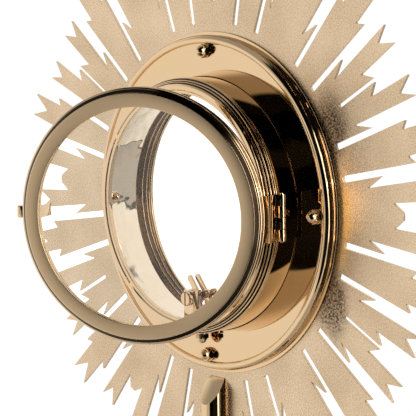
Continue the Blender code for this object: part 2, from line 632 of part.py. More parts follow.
def cap_nut_mesh():
    """A hexagon with a domed end and a blind bore from its base, standing on Z = 0."""
    hexagon = NUT_HEIGHT * 0.45
    dome = NUT_FLATS * 0.47
    body = rod("nut_body", None, NUT_FLATS / math.sqrt(3), 0, hexagon, steps=6, group=CUTTERS)
    arc = [math.radians(a) for a in (0, 30, 60, 90)]
    cap = [(dome * math.cos(a), hexagon - 0.001 + (NUT_HEIGHT - hexagon + 0.001) * math.sin(a))
           for a in arc[:-1]]
    cap = [(0, hexagon - 0.001)] + cap + [(0, NUT_HEIGHT)]
    crown = guide(turned("nut_crown", cap, None, steps=SMALL_STEPS, group=CUTTERS))
    bore = guide(rod("nut_bore", None, STUD_RADIUS + BOLT_SLACK, -NUT_HEIGHT, NUT_HEIGHT * 0.68,
                     group=CUTTERS))
    boolean(body, crown, "UNION")
    boolean(body, bore)
    bpy.context.view_layer.update()
    evaluated = body.evaluated_get(bpy.context.evaluated_depsgraph_get())
    mesh = bpy.data.meshes.new_from_object(evaluated)
    mesh.name = "cap_nut"
    mesh.materials.clear()
    mesh.materials.append(GOLD)
    for helper in (body, crown, bore):
        bpy.data.objects.remove(helper, do_unlink=True)
    return mesh


def cap_nut(name, mesh, at, turn):
    nut = bpy.data.objects.new(name, mesh)
    PARTS.objects.link(nut)
    nut.parent = HEAD
    nut.location = at
    nut.rotation_euler = turn


def case_studs(nut_mesh):
    washer_low = FLANGE_FACE + GAP
    nut_low = washer_low + WASHER_THICKNESS + GAP
    hole_end = -PLATE_THICKNESS - GAP - STUD_HOLE_DEPTH
    for name, (x, z) in stud_places().items():
        rod("stud_" + name, STEEL, STUD_RADIUS, hole_end + GAP, nut_low + NUT_HEIGHT * 0.62, axis="Y",
            at=(x, 0, z), parent=HEAD)
        turned("washer_" + name, tube(STUD_RADIUS + BOLT_SLACK, WASHER_RADIUS, washer_low,
                                      washer_low + WASHER_THICKNESS), GOLD, HEAD, "Y", (x, 0, z),
               steps=SMALL_STEPS)
        cap_nut("cap_nut_" + name, nut_mesh, (x, nut_low, z), (-math.pi / 2, 0, 0))


# Door -------------------------------------------------------------------------------------------

def door_ring():
    back, face = DOOR_BACK, DOOR_FACE
    skirt = DOOR_RADIUS - 0.0014
    lip = face - DOOR_LIP
    profile = [(DOOR_FACE_INNER, face), (DOOR_FACE_OUTER, face), (DOOR_RADIUS - 0.0012, face - 0.0017),
               (DOOR_RADIUS, face - 0.0035), (DOOR_RADIUS, face - 0.0051), (skirt, face - 0.0065),
               (DOOR_RADIUS - 0.0002, face - 0.0081), (DOOR_RADIUS - 0.0002, face - 0.0097),
               (skirt, back + 0.0032), (skirt, back), (DOOR_BORE, back), (DOOR_BORE, lip),
               (DOOR_FACE_INNER, lip)]
    turned("door_ring", profile, GOLD, DOOR, "Y", DOOR_CENTRE)
    glass_high = lip - GAP
    glass_low = glass_high - GLASS_THICKNESS
    radius = DOOR_BORE - GAP
    turned("door_glass", [(0, glass_low), (radius, glass_low), (radius, glass_high), (0, glass_high)],
           GLASS, DOOR, "Y", DOOR_CENTRE)
    turned("door_glass_ring", tube(radius - DOOR_GLASS_RING, radius, glass_low - GAP - GLASS_RING_THICKNESS,
                                   glass_low - GAP), GOLD, DOOR, "Y", DOOR_CENTRE)


def door_tab():
    """The finger tab on the door's free edge, and the tongue that the catch holds."""
    x, y, z = DOOR_CENTRE
    middle = y + DOOR_FACE - 0.008
    start = x + DOOR_RADIUS + GAP
    tab = box("door_tab", GOLD, (start, middle - TAB_DEPTH / 2, z - TAB_HEIGHT / 2),
              (start + TAB_LENGTH, middle + TAB_DEPTH / 2, z + TAB_HEIGHT / 2), DOOR)
    bevel = tab.modifiers.new("round", "BEVEL")
    bevel.width = 0.0012
    bevel.segments = 2
    corner = math.sqrt((DOOR_BORE - GAP) ** 2 - (TONGUE_WIDTH / 2) ** 2)
    glass_ring_low = DOOR_FACE - DOOR_LIP - 2 * GAP - GLASS_THICKNESS - GLASS_RING_THICKNESS
    box("door_tongue", GOLD, (x + corner - TONGUE_THICKNESS, y + CATCH_Y - 0.002, z - TONGUE_WIDTH / 2),
        (x + corner, y + glass_ring_low - GAP, z + TONGUE_WIDTH / 2), DOOR)


# Hinge ------------------------------------------------------------------------------------------

def knuckle_spans(first):
    """Heights of every other knuckle, from the top down, with a gap between neighbours."""
    pitch = HINGE_LENGTH / KNUCKLES
    tops = [HINGE_LENGTH / 2 - pitch * k for k in range(first, KNUCKLES, 2)]
    return [(top - pitch + GAP / 2, top - GAP / 2) for top in tops]


def hinge_leaf(name, parent, axis, low, high, web, first):
    """A leaf, from its plate's corners low and high, joined to every other knuckle by a web."""
    leaf = box(name, GOLD, low, high, parent)
    for k, (bottom, top) in enumerate(knuckle_spans(first)):
        barrel = guide(rod(f"{name}_knuckle_{k}", None, KNUCKLE_RADIUS, bottom, top, at=axis,
                           parent=parent, group=CUTTERS, steps=16))
        boolean(leaf, barrel, "UNION")
        inner, outer = web
        add_box(leaf, f"{name}_web_{k}", (axis[0], inner, bottom), (high[0] - 0.0002, outer, top))
    return leaf


def case_hinge_leaf():
    half = HINGE_LENGTH / 2 - GAP / 2
    outer_x = -HINGE_X + KNUCKLE_RADIUS + PIVOT_SLACK
    low = (outer_x, FLANGE_FACE + 0.0015, -half)
    high = (outer_x + 0.003, HINGE_Y - KNUCKLE_RADIUS + 0.0008, half)
    web = (HINGE_Y - KNUCKLE_RADIUS + 0.0001, HINGE_Y - KNUCKLE_RADIUS + 0.0007)
    leaf = hinge_leaf("hinge_leaf_case", HEAD, (-HINGE_X, HINGE_Y, 0), low, high, web, 1)
    cut_rod(leaf, "cut_case_leaf_round", CASE_RADIUS + GAP, -CASE_LENGTH, 2 * CASE_LENGTH, axis="Y",
            steps=LARGE_STEPS * 2)
    cut_rod(leaf, "cut_case_leaf_pin", PIN_RADIUS + PIVOT_SLACK, -HINGE_LENGTH, HINGE_LENGTH,
            at=(-HINGE_X, HINGE_Y, 0))


def door_hinge_leaf():
    half = HINGE_LENGTH / 2 - GAP / 2
    x, y, z = DOOR_CENTRE
    inner_x = KNUCKLE_RADIUS + 4 * GAP
    plate_low = KNUCKLE_RADIUS - 0.001
    seat_low = DOOR_BACK + y + GAP
    low = (inner_x - LEAF_THICKNESS * 0.4, plate_low, -half)
    high = (inner_x + LEAF_THICKNESS * 0.6, seat_low + 0.005, half)
    web = (KNUCKLE_RADIUS - 0.0009, KNUCKLE_RADIUS - 0.0001)
    leaf = hinge_leaf("hinge_leaf_door", DOOR, (0, 0, 0), low, high, web, 0)
    add_box(leaf, "door_leaf_pad", (low[0] + 0.0001, seat_low, -half + 0.0001),
            (x - DOOR_RADIUS + 0.003, seat_low + 0.0048, half - 0.0001))
    cut_rod(leaf, "cut_door_leaf_round", DOOR_RADIUS + GAP, 0, 2 * DOOR_FACE, axis="Y", at=DOOR_CENTRE,
            steps=LARGE_STEPS * 2)
    cut_rod(leaf, "cut_door_leaf_pin", PIN_RADIUS + PIVOT_SLACK, -HINGE_LENGTH, HINGE_LENGTH)


def hinge_pin():
    rod("hinge_pin", GOLD, PIN_RADIUS, -HINGE_LENGTH / 2 - 0.0006, HINGE_LENGTH / 2 + 0.0006,
        at=(-HINGE_X, HINGE_Y, 0), parent=HEAD)


# Catch ------------------------------------------------------------------------------------------

def catch():
    """A spring plunger in the case's wall, opposite the hinge, pointing at the case's centre."""
    tongue = math.sqrt((DOOR_BORE - GAP) ** 2 - (TONGUE_WIDTH / 2) ** 2)
    nose = tongue + GAP
    mouth = LINER_RADIUS - 0.001
    drum_flat = (CASE_RADIUS - CASE_WALL) * math.cos(math.pi / LARGE_STEPS)
    back = math.sqrt((drum_flat - GAP) ** 2 - CATCH_RADIUS ** 2)
    at = (0, CATCH_Y, 0)
    bore = PLUNGER_RADIUS + PIVOT_SLACK
    body = rod("catch_body", GOLD, CATCH_RADIUS, mouth, back, axis="X", at=at, parent=HEAD, steps=16)
    cut_rod(body, "cut_catch_bore", bore, 0, back - 0.0008, axis="X", at=at)
    shoulder = mouth + 0.0016
    steps = [math.radians(a) for a in (90, 60, 30)]
    tip = [(PLUNGER_RADIUS * math.cos(a), nose + PLUNGER_RADIUS * (1 - math.sin(a))) for a in steps]
    tip[0] = (0, nose)
    tail = shoulder + 0.0022
    profile = tip + [(PLUNGER_RADIUS, nose + PLUNGER_RADIUS), (PLUNGER_RADIUS, shoulder),
                     (PLUNGER_TAIL, shoulder), (PLUNGER_TAIL, tail), (0, tail)]
    plunger = turned("catch_plunger", profile, STEEL, HEAD, at=at, steps=SMALL_STEPS)
    plunger.rotation_euler = (0, math.pi / 2, 0)
    start, end = shoulder + 0.0010, back - 0.0008 - SPRING_WIRE - 0.0001
    catch_spring(start + SPRING_WIRE, end)


def catch_spring(start, end):
    curve = bpy.data.curves.new("catch_spring", "CURVE")
    curve.dimensions = "3D"
    curve.bevel_depth = SPRING_WIRE
    curve.bevel_resolution = 1
    curve.use_fill_caps = True
    count = 10 * SPRING_TURNS + 1
    spline = curve.splines.new("POLY")
    spline.points.add(count - 1)
    for i, point in enumerate(spline.points):
        share = i / (count - 1)
        a = 2 * math.pi * SPRING_TURNS * share
        point.co = (start + (end - start) * share, SPRING_RADIUS * math.cos(a),
                    SPRING_RADIUS * math.sin(a), 1)
    obj = link(bpy.data.objects.new("catch_spring", curve), STEEL, HEAD)
    obj.location = (0, CATCH_Y, 0)


# Host clip --------------------------------------------------------------------------------------

def star_outline(arms, half_width, end_steps=6):
    """The outline of straight round-ended arms that meet at the origin: (degrees, length) each."""
    arms = sorted(arms)
    points = []
    for i, (degrees, length) in enumerate(arms):
        a = math.radians(degrees)
        centre = Vector((math.cos(a), math.sin(a))) * (length - half_width)
        for k in range(end_steps + 1):
            b = a - math.pi / 2 + math.pi * k / end_steps
            points.append((centre.x + half_width * math.cos(b), centre.y + half_width * math.sin(b)))
        following = arms[(i + 1) % len(arms)][0] + (360 if i + 1 == len(arms) else 0)
        spread = math.radians(following - degrees) / 2
        corner = half_width / math.sin(spread)
        points.append((corner * math.cos(a + spread), corner * math.sin(a + spread)))
    return points


def jaw(name, y, tail_length):
    """A jaw plate: two arms and a tail round the clamp screw, with a hole in the short arm."""
    arms = [LONG_ARM, SHORT_ARM, (270.0, tail_length)]
    outline = [(x, z - CLIP_AXIS_DROP) for x, z in star_outline(arms, JAW_HALF_WIDTH)]
    a, length = math.radians(SHORT_ARM[0]), SHORT_ARM[1] - JAW_HALF_WIDTH
    eye = (length * math.cos(a), length * math.sin(a) - CLIP_AXIS_DROP)
    plate = flat(name, GOLD, [outline, circle(0.0008, 8, eye)], y, y + JAW_THICKNESS, HEAD)
    plate = mesh_copy(plate)
    at = (0, 0, -CLIP_AXIS_DROP)
    boss = guide(rod(name + "_boss", None, JAW_BOSS_RADIUS, y, y + JAW_THICKNESS, axis="Y", at=at,
                     parent=HEAD, group=CUTTERS, steps=16))
    boolean(plate, boss, "UNION")
    cut_rod(plate, f"cut_{name}_bore", CLAMP_SCREW_RADIUS + PIVOT_SLACK, y - 0.005, y + 0.008, axis="Y",
            at=at)


def mesh_copy(obj):
    """Replace a curve object by a welded mesh object of the same name, place and parent."""
    bpy.context.view_layer.update()
    evaluated = obj.evaluated_get(bpy.context.evaluated_depsgraph_get())
    mesh = bpy.data.meshes.new_from_object(evaluated)
    name, parent, finish = obj.name, obj.parent, obj.data.materials[0]
    place, turn = obj.location.copy(), obj.rotation_euler.copy()
    bpy.data.objects.remove(obj, do_unlink=True)
    mesh.materials.clear()
    bm = bmesh.new()
    bm.from_mesh(mesh)
    bmesh.ops.remove_doubles(bm, verts=bm.verts, dist=0.00001)
    bm.to_mesh(mesh)
    bm.free()
    made = link(bpy.data.objects.new(name, mesh), finish, parent)
    made.location, made.rotation_euler = place, turn
    return made


def clip(nut_mesh):
    half = CLIP_WIDTH / 2
    floor = math.sqrt(LINER_RADIUS ** 2 - half ** 2) - GAP
    deck = -floor + CLIP_BASE_THICKNESS
    bracket = box("clip_bracket", GOLD, (-half, CLIP_FRONT, -floor), (half, CLIP_REAR, deck), HEAD)
    add_box(bracket, "clip_block", (-half, CLIP_REAR - CLIP_BLOCK_LENGTH, -floor),
            (half, CLIP_REAR, -CLIP_AXIS_DROP + CLIP_BLOCK_RISE))
    axis = (0, 0, -CLIP_AXIS_DROP)
    cut_rod(bracket, "cut_clip_screw", CLAMP_SCREW_RADIUS + PIVOT_SLACK, 0, 2 * CLIP_REAR, axis="Y",
            at=axis)
    bolt_at = (0, CLIP_BOLT_Y, 0)
    cut_rod(bracket, "cut_clip_bolt", STUD_RADIUS + BOLT_SLACK, -CASE_RADIUS, deck + 0.001, at=bolt_at)
    head_low = deck + GAP
    head_high = head_low + CLIP_BOLT_HEAD_HEIGHT
    jaw("clip_fixed_jaw", CLIP_FRONT - GAP - JAW_THICKNESS, floor - CLIP_AXIS_DROP - GAP)
    jaw("clip_moving_jaw", MOVING_JAW_Y, -CLIP_AXIS_DROP - head_high - GAP)
    saddle_high = -CASE_RADIUS - GAP
    saddle_low = saddle_high - SADDLE_THICKNESS
    nut_base = saddle_low - GAP
    turned("clip_saddle", tube(STUD_RADIUS + BOLT_SLACK, WASHER_RADIUS, saddle_low, saddle_high), GOLD,
           HEAD, at=bolt_at, steps=16)
    shank_end = nut_base - NUT_HEIGHT * 0.62
    bolt = [(0, shank_end), (STUD_RADIUS, shank_end), (STUD_RADIUS, head_low),
            (CLIP_BOLT_HEAD_RADIUS, head_low), (CLIP_BOLT_HEAD_RADIUS, head_high - 0.0008),
            (CLIP_BOLT_HEAD_RADIUS - 0.0012, head_high), (0, head_high)]
    turned("clip_bolt", bolt, STEEL, HEAD, at=bolt_at, steps=SMALL_STEPS)
    cap_nut("cap_nut_clip", nut_mesh, (0, CLIP_BOLT_Y, nut_base), (math.pi, 0, 0))
    clamp_screw(axis)


def clamp_screw(axis):
    head_low = CLIP_REAR + GAP
    head_high = head_low + CLAMP_HEAD_HEIGHT
    tip = CLIP_FRONT - GAP - JAW_THICKNESS + 0.0002
    profile = [(0, tip), (CLAMP_SCREW_RADIUS, tip), (CLAMP_SCREW_RADIUS, head_low),
               (CLAMP_HEAD_RADIUS, head_low), (CLAMP_HEAD_RADIUS, head_high - 0.0006),
               (CLAMP_HEAD_RADIUS - 0.0008, head_high), (0, head_high)]
    screw = turned("clamp_screw", profile, GOLD, HEAD, "Y", axis, steps=16)
    slot_half = 0.0006
    cut_box(screw, "cut_clamp_slot", (-slot_half, head_high - 0.0012, -0.01),
            (slot_half, head_high + 0.01, 0.01), at=axis)


clear_scene()
PARTS = collection("monstrance")
CUTTERS = collection("cutters")
GOLD = material("polished_gold", (0.80, 0.58, 0.34), 0.12, 1.0)
SATIN = material("satin_gold", (0.74, 0.58, 0.38), 0.38, 1.0)
BRASS = material("raw_brass", (0.62, 0.48, 0.25), 0.35, 1.0)
STEEL = material("steel", (0.55, 0.55, 0.56), 0.3, 1.0)
IRON = material("cast_iron", (0.12, 0.12, 0.12), 0.7, 0.6)
GLASS = material("clear_glass", (0.95, 0.97, 0.97), 0.02, 0.0, 1.0)
FELT = material("felt", (0.16, 0.05, 0.06), 0.95, 0.0)
HEAD = empty("head_frame", (0, HEAD_Y, HEAD_HEIGHT))
DOOR = empty("door_axis", (-HINGE_X, HINGE_Y, 0), HEAD, (0, 0, math.radians(DOOR_OPEN_DEG)))

LEVELS = stand_levels()
foot(LEVELS)
stem(LEVELS)
rear_rod(socket(LEVELS))
ray_plate()
rear_flange()
front_bezel()
case_walls()
CAP_NUT = cap_nut_mesh()
case_studs(CAP_NUT)
door_ring()
door_tab()
case_hinge_leaf()
door_hinge_leaf()
hinge_pin()
catch()
clip(CAP_NUT)
smooth_all()
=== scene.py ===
# %% [markdown]
# # A sunburst monstrance, seen from behind
# A monstrance shows the host in a glazed case at the centre of a gilded sunburst. This lesson
# takes a finished mechanical model of one and gives it its fine surface: turned rings, cut rays,
# screws and nuts, polished and satin gold. The mechanical model gives every place and size.

# %% Load the mechanical model
import json
import math

import bmesh
import bpy
from mathutils import Matrix, Vector


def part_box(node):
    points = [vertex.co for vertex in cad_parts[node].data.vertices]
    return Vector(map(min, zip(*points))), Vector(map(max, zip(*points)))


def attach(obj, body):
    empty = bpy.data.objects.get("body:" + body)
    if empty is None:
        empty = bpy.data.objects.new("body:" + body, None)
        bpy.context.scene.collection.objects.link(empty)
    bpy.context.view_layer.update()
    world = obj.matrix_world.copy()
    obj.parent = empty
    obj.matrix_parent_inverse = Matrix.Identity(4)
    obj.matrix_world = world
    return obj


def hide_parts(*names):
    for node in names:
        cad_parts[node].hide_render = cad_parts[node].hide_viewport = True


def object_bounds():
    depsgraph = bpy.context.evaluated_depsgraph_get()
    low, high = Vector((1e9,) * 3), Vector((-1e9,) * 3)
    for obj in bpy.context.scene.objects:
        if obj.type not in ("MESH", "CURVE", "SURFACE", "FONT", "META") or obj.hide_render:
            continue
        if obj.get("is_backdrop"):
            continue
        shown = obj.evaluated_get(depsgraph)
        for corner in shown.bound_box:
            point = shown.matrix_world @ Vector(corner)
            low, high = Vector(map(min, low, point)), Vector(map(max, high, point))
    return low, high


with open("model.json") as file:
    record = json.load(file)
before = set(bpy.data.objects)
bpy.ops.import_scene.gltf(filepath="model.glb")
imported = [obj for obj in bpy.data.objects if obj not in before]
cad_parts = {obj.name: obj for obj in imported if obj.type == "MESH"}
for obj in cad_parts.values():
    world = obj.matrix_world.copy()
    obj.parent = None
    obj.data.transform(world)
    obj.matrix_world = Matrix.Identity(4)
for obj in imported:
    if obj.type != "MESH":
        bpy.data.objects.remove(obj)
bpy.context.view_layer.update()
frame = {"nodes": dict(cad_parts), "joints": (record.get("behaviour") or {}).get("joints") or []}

# %% [markdown]
# ## Places that everything else is measured from
# The head's turned pieces share one axis. It runs front to back through the middle of the drum.
# Depths are counted backwards from the rear face of the ray plate. The door is described closed
# and is then swung open about its hinge, so its rings can be turned on the same axis.

# %% Find the axis and the hinge
MM = 0.001
drum_low, drum_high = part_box("case_drum")
_, plate_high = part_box("ray_plate")
HEAD = Vector(((drum_low.x + drum_high.x) / 2, plate_high.y, (drum_low.z + drum_high.z) / 2))
JOINT = {joint["name"]: joint for joint in frame["joints"]}
HINGE = Vector(JOINT["door_swing"]["pos_m"])
OPEN_ANGLE = -math.radians(JOINT["door_swing"]["range_deg"][0])
SWING = Matrix.Translation(HINGE) @ Matrix.Rotation(OPEN_ANGLE, 4, "Z") @ Matrix.Translation(-HINGE)
print("head", [round(v * 1000, 1) for v in HEAD], "door open", round(math.degrees(OPEN_ANGLE), 1))

# %% [markdown]
# ## Shader maths as plain sums
# A pattern such as a turning mark is a formula. Written node by node a formula is hard to read,
# so a small class wraps a socket and lets Python's own signs build the Math nodes. Every other
# node comes from one method, which sets the node up first and then feeds its sockets.


# %% Wrap a socket
class Link:
    def __init__(self, tree, socket):
        self.tree, self.socket = tree, socket

    def maths(self, operation, other=None, swapped=False):
        pair = (other, self) if swapped else (self, other)
        return self.tree.node("ShaderNodeMath", {"operation": operation}, {0: pair[0], 1: pair[1]})

    def __add__(self, other):
        return self.maths("ADD", other)

    def __sub__(self, other):
        return self.maths("SUBTRACT", other)

    def __rsub__(self, other):
        return self.maths("SUBTRACT", other, swapped=True)

    def __mul__(self, other):
        return self.maths("MULTIPLY", other)

    __radd__ = __add__
    __rmul__ = __mul__


# %% Wrap a node tree
class Tree:
    def __init__(self, owner):
        owner.use_nodes = True
        self.nodes, self.links = owner.node_tree.nodes, owner.node_tree.links

    def feed(self, socket, value):
        if isinstance(value, Link):
            self.links.new(value.socket, socket)
        elif value is not None:
            socket.default_value = value

    def node(self, kind, settings=None, inputs=None, output=0):
        made = self.nodes.new(kind)
        for key, value in (settings or {}).items():
            if key == "stops":
                for stop, (place, colour) in zip(made.color_ramp.elements, value):
                    stop.position, stop.color = place, (*colour, 1)
            else:
                setattr(made, key, value)
        for key, value in (inputs or {}).items():
            self.feed(made.inputs[key], value)
        return Link(self, made.outputs[output])


# %% Start a finish
def finish_tree(name, colour, roughness, metallic=1.0):
    material = bpy.data.materials.new(name)
    tree = Tree(material)
    shader = tree.nodes["Principled BSDF"]
    shader.inputs["Base Color"].default_value = (*colour, 1)
    shader.inputs["Roughness"].default_value = roughness
    shader.inputs["Metallic"].default_value = metallic
    return material, tree, shader


# %% [markdown]
# ## Where a pattern lies
# Turning leaves rings, so its pattern depends on the distance from the lathe's axis and on the
# depth along it. Both come from the object's own coordinates. The door's pattern is centred and
# turned back to the closed position by a Mapping node.

# %% Place a pattern
HEAD_AXIS = {"Location": tuple(-HEAD)}
turn_back = Matrix.Rotation(-OPEN_ANGLE, 3, "Z")
door_shift = -(turn_back @ HINGE) + (HINGE - HEAD)
DOOR_AXIS = {"Location": tuple(door_shift), "Rotation": (0, 0, -OPEN_ANGLE)}


def placed(tree, mapping):
    place = tree.node("ShaderNodeTexCoord", output="Object")
    return tree.node("ShaderNodeMapping", None, {"Vector": place, **mapping})


def noise(tree, place, scale, detail=2.0, roughness=0.5):
    return tree.node("ShaderNodeTexNoise", None,
                     {"Vector": place, "Scale": scale, "Detail": detail, "Roughness": roughness})


# %% Turning marks
def turning_marks(tree, place, pitch):
    parts = tree.node("ShaderNodeSeparateXYZ", None, {0: place})
    depth = Link(tree, parts.socket.node.outputs["Y"])
    flattened = tree.node("ShaderNodeVectorMath", {"operation": "MULTIPLY"}, {0: place, 1: (1, 0, 1)})
    radius = tree.node("ShaderNodeVectorMath", {"operation": "LENGTH"}, {0: flattened}, "Value")
    rings = tree.node("ShaderNodeTexNoise", {"noise_dimensions": "1D"},
                      {"W": (radius + depth) * (1 / pitch), "Scale": 1.0, "Detail": 3.0})
    return rings


def bump(tree, shader, height, strength, distance):
    raised = tree.node("ShaderNodeBump", None,
                       {"Height": height, "Strength": strength, "Distance": distance})
    tree.feed(shader.inputs["Normal"], raised)


def blend(tree, share, first, second):
    made = tree.nodes.new("ShaderNodeMix")
    made.data_type = "RGBA"
    tree.feed(made.inputs[0], share)
    for key, colour in ((6, first), (7, second)):
        tree.feed(made.inputs[key], colour if isinstance(colour, Link) else (*colour, 1))
    return Link(tree, made.outputs[2])


# %% [markdown]
# ## Polished gold
# The turned pieces are plated brass, polished on the lathe. They're mirrors, so most of their
# look is what they reflect. The finish adds only what a mirror still shows close up: faint rings
# from the polishing mop, and soft smears that dull it a little. The inner wall is thinner sheet
# with gentle dents, which make a straight reflection ragged. Deep grooves get a nearly black
# version of the same finish, which is painted shade and painted dark reflection inside them.


# %% Make polished gold
GOLD_COLOUR = (0.75, 0.55, 0.335)
# Painted shade: this nearly black colour stands in for the shade and dark reflections inside deep grooves.
GROOVE_SHADE_COLOUR = (0.022, 0.014, 0.008)
MARK_DEPTH = 0.01 * MM
SMEAR_SCALE, DENT_SCALE = 28.0, 90.0


def polished(name, mapping, colour=GOLD_COLOUR, roughness=0.035, pitch=0.35 * MM, relief=0.035, dent=0.0):
    """A turned mirror finish. The rings lie pitch apart, and dent is how deep its dents are."""
    material, tree, shader = finish_tree(name, colour, roughness)
    place = placed(tree, mapping)
    smear = noise(tree, place, SMEAR_SCALE, 3.0)
    rings = turning_marks(tree, place, pitch)
    tree.feed(shader.inputs["Roughness"], smear * (roughness * 1.2) + rings * roughness)
    warmer = tuple(v * w for v, w in zip(colour, (1.0, 0.95, 0.87)))
    tree.feed(shader.inputs["Base Color"], blend(tree, smear, colour, warmer))
    height = rings * relief * MARK_DEPTH
    if dent:
        height = height + noise(tree, place, DENT_SCALE, 1.0) * dent
    bump(tree, shader, height, 1.0, 1.0)
    return material


POLISHED = polished("polished gold", HEAD_AXIS)
POLISHED_DOOR = polished("polished gold of the door", DOOR_AXIS)
WALL = polished("turned inner wall", HEAD_AXIS, (0.93, 0.80, 0.62), 0.05, 0.6 * MM, 0.09, 0.9 * MM)
SHADED = polished("dark inner front ring", HEAD_AXIS, (0.13, 0.075, 0.036), 0.10, 0.8 * MM, 0.12)
GROOVE = polished("dark groove", HEAD_AXIS, GROOVE_SHADE_COLOUR, 0.18)
GROOVE_DOOR = polished("dark groove of the door", DOOR_AXIS, GROOVE_SHADE_COLOUR, 0.18)
POLISHED_STEM = polished("polished gold of the stem", {"Location": (0, 0, 0)}, relief=0.02)
print("polished finishes made")

# %% [markdown]
# ## Satin gold
# The ray plate is sheet, blasted to a fine grain before plating, so it scatters light softly. Its
# slots and points were cut afterwards and polished, and they catch a warmer light. Beside the
# flange's rim, on the hinge side, two speckled dark patches are a painted reflection of the dark
# drum, and a golden glow painted between them stands in for light that the rim throws on the sheet.
# The door's face is brushed round.


# %% Make the satin finishes
BLAST_DEPTH = 0.11 * MM


def satin(name, mapping, light, dark, roughness, grain_scale, relief):
    """A blasted finish, from light to dark over a fine grain and a coarser cloud."""
    material, tree, shader = finish_tree(name, light, roughness)
    place = placed(tree, mapping)
    grain = noise(tree, place, grain_scale, 4.0, 0.7)
    cloud = noise(tree, place, 22.0, 3.0)
    share = grain * 0.75 + cloud * 0.25
    steeper = tree.node("ShaderNodeMapRange", {"interpolation_type": "SMOOTHSTEP"},
                        {0: share, 1: 0.36, 2: 0.64})
    tree.feed(shader.inputs["Base Color"], blend(tree, steeper, dark, light))
    tree.feed(shader.inputs["Roughness"], grain * 0.16 + (roughness - 0.08))
    bump(tree, shader, grain, relief, BLAST_DEPTH)
    return material


# Painted light on the sheet: a dark painted reflection in two spots and a painted glow between them; places
# and reaches are in millimetres.
PAINTED_GLOW_COLOUR, DARK_REFLECTION_COLOUR = (0.90, 0.58, 0.22), (0.06, 0.036, 0.018)
DARK_REFLECTION_SPOTS = ((-106, 52), (-106, -54))
DARK_REFLECTION_REACH = (18, 30)
PAINTED_GLOW_SPOT, PAINTED_GLOW_REACH = (-114, -2), (13, 38)


# Oval masks that place the painted reflection and the painted glow on the sheet.
def painted_light_oval(tree, place, middle, reach, wander):
    """1 in the middle of an oval patch, (x, z) millimetres from the axis, and 0 outside it."""
    (x, z), (reach_x, reach_z) = middle, reach
    spot = tree.node("ShaderNodeMapping", {"vector_type": "POINT"},
                     {"Vector": place, "Location": (-x / reach_x, 0, -z / reach_z),
                      "Scale": (1 / (reach_x * MM), 0, 1 / (reach_z * MM))})
    away = tree.node("ShaderNodeVectorMath", {"operation": "LENGTH"}, {0: spot}, "Value")
    return tree.node("ShaderNodeMapRange", {"interpolation_type": "SMOOTHSTEP"},
                     {0: away + wander * 0.9 - 0.45, 1: 1.0, 2: 0.35})


def satin_sheet():
    """The sheet's finish, with a painted dark reflection and a painted glow beside the flange's rim."""
    material = satin("satin gold sheet", HEAD_AXIS, (0.81, 0.62, 0.425), (0.50, 0.36, 0.215), 0.27,
                     1050.0, 0.8)
    tree = Tree(material)
    shader = tree.nodes["Principled BSDF"]
    place = placed(tree, HEAD_AXIS)
    wander = noise(tree, place, 60.0, 5.0, 0.65)
    sheet = Link(tree, shader.inputs["Base Color"].links[0].from_socket)
    speck = tree.node("ShaderNodeMapRange", {"interpolation_type": "SMOOTHSTEP"},
                      {0: noise(tree, place, 620.0, 3.0, 0.7), 1: 0.44, 2: 0.56})
    above, below = (painted_light_oval(tree, place, spot, DARK_REFLECTION_REACH, wander) for spot in DARK_REFLECTION_SPOTS)
    # Painted reflection: two dark speckled patches beside the rim, where the sheet mirrors the dark drum.
    dark_reflection = (1.0 - (1.0 - above) * (1.0 - below)) * (speck * 0.55 + 0.40)
    # Painted light: a golden glow between the dark patches, standing in for light that the rim throws on the
    # sheet.
    warm = painted_light_oval(tree, place, PAINTED_GLOW_SPOT, PAINTED_GLOW_REACH, wander)
    sheet = blend(tree, warm * 0.75, sheet, PAINTED_GLOW_COLOUR)
    sheet = blend(tree, dark_reflection, sheet, DARK_REFLECTION_COLOUR)
    tree.feed(shader.inputs["Base Color"], sheet)
    return material


SATIN = satin_sheet()
CUT_EDGE = satin("cut edge", HEAD_AXIS, (0.95, 0.62, 0.27), (0.80, 0.46, 0.16), 0.20, 900.0, 0.2)


def brushed(name, mapping, colour):
    """A face brushed round its axis."""
    material, tree, shader = finish_tree(name, colour, 0.3)
    place = placed(tree, mapping)
    rings = turning_marks(tree, place, 0.22 * MM)
    cloud = noise(tree, place, 40.0, 3.0)
    darker = tuple(v * 0.86 for v in colour)
    tree.feed(shader.inputs["Base Color"], blend(tree, rings * 0.6 + cloud * 0.4, darker, colour))
    tree.feed(shader.inputs["Roughness"], rings * 0.12 + 0.25)
    bump(tree, shader, rings, 0.2, 0.02 * MM)
    return material


DOOR_FACE = brushed("brushed door face", DOOR_AXIS, (0.78, 0.56, 0.33))
print("satin finishes made")


# %% [markdown]
# ## The plain materials
# Steel, raw brass, cast iron and felt are mostly hidden inside the stand. Each still has its own
# grain. Glass needs no pattern.


# %% Make the plain materials
def grained(name, light, dark, roughness, metallic, scale, relief, distance):
    material, tree, shader = finish_tree(name, light, roughness, metallic)
    place = placed(tree, {"Location": (0, 0, 0)})
    grain = noise(tree, place, scale, 4.0, 0.65)
    tree.feed(shader.inputs["Base Color"], blend(tree, grain, dark, light))
    tree.feed(shader.inputs["Roughness"], grain * 0.12 + (roughness - 0.06))
    bump(tree, shader, grain, relief, distance)
    return material


STEEL = grained("turned steel", (0.62, 0.62, 0.63), (0.45, 0.45, 0.46), 0.28, 1.0, 1200.0, 0.2, 0.02 * MM)
BRASS = grained("turned brass", (0.66, 0.50, 0.26), (0.52, 0.38, 0.18), 0.34, 1.0, 700.0, 0.2, 0.03 * MM)
IRON = grained("cast iron", (0.13, 0.13, 0.13), (0.06, 0.06, 0.06), 0.72, 0.5, 500.0, 0.6, 0.3 * MM)
FELT = grained("felt", (0.20, 0.06, 0.07), (0.10, 0.03, 0.035), 0.95, 0.0, 2400.0, 0.9, 0.2 * MM)

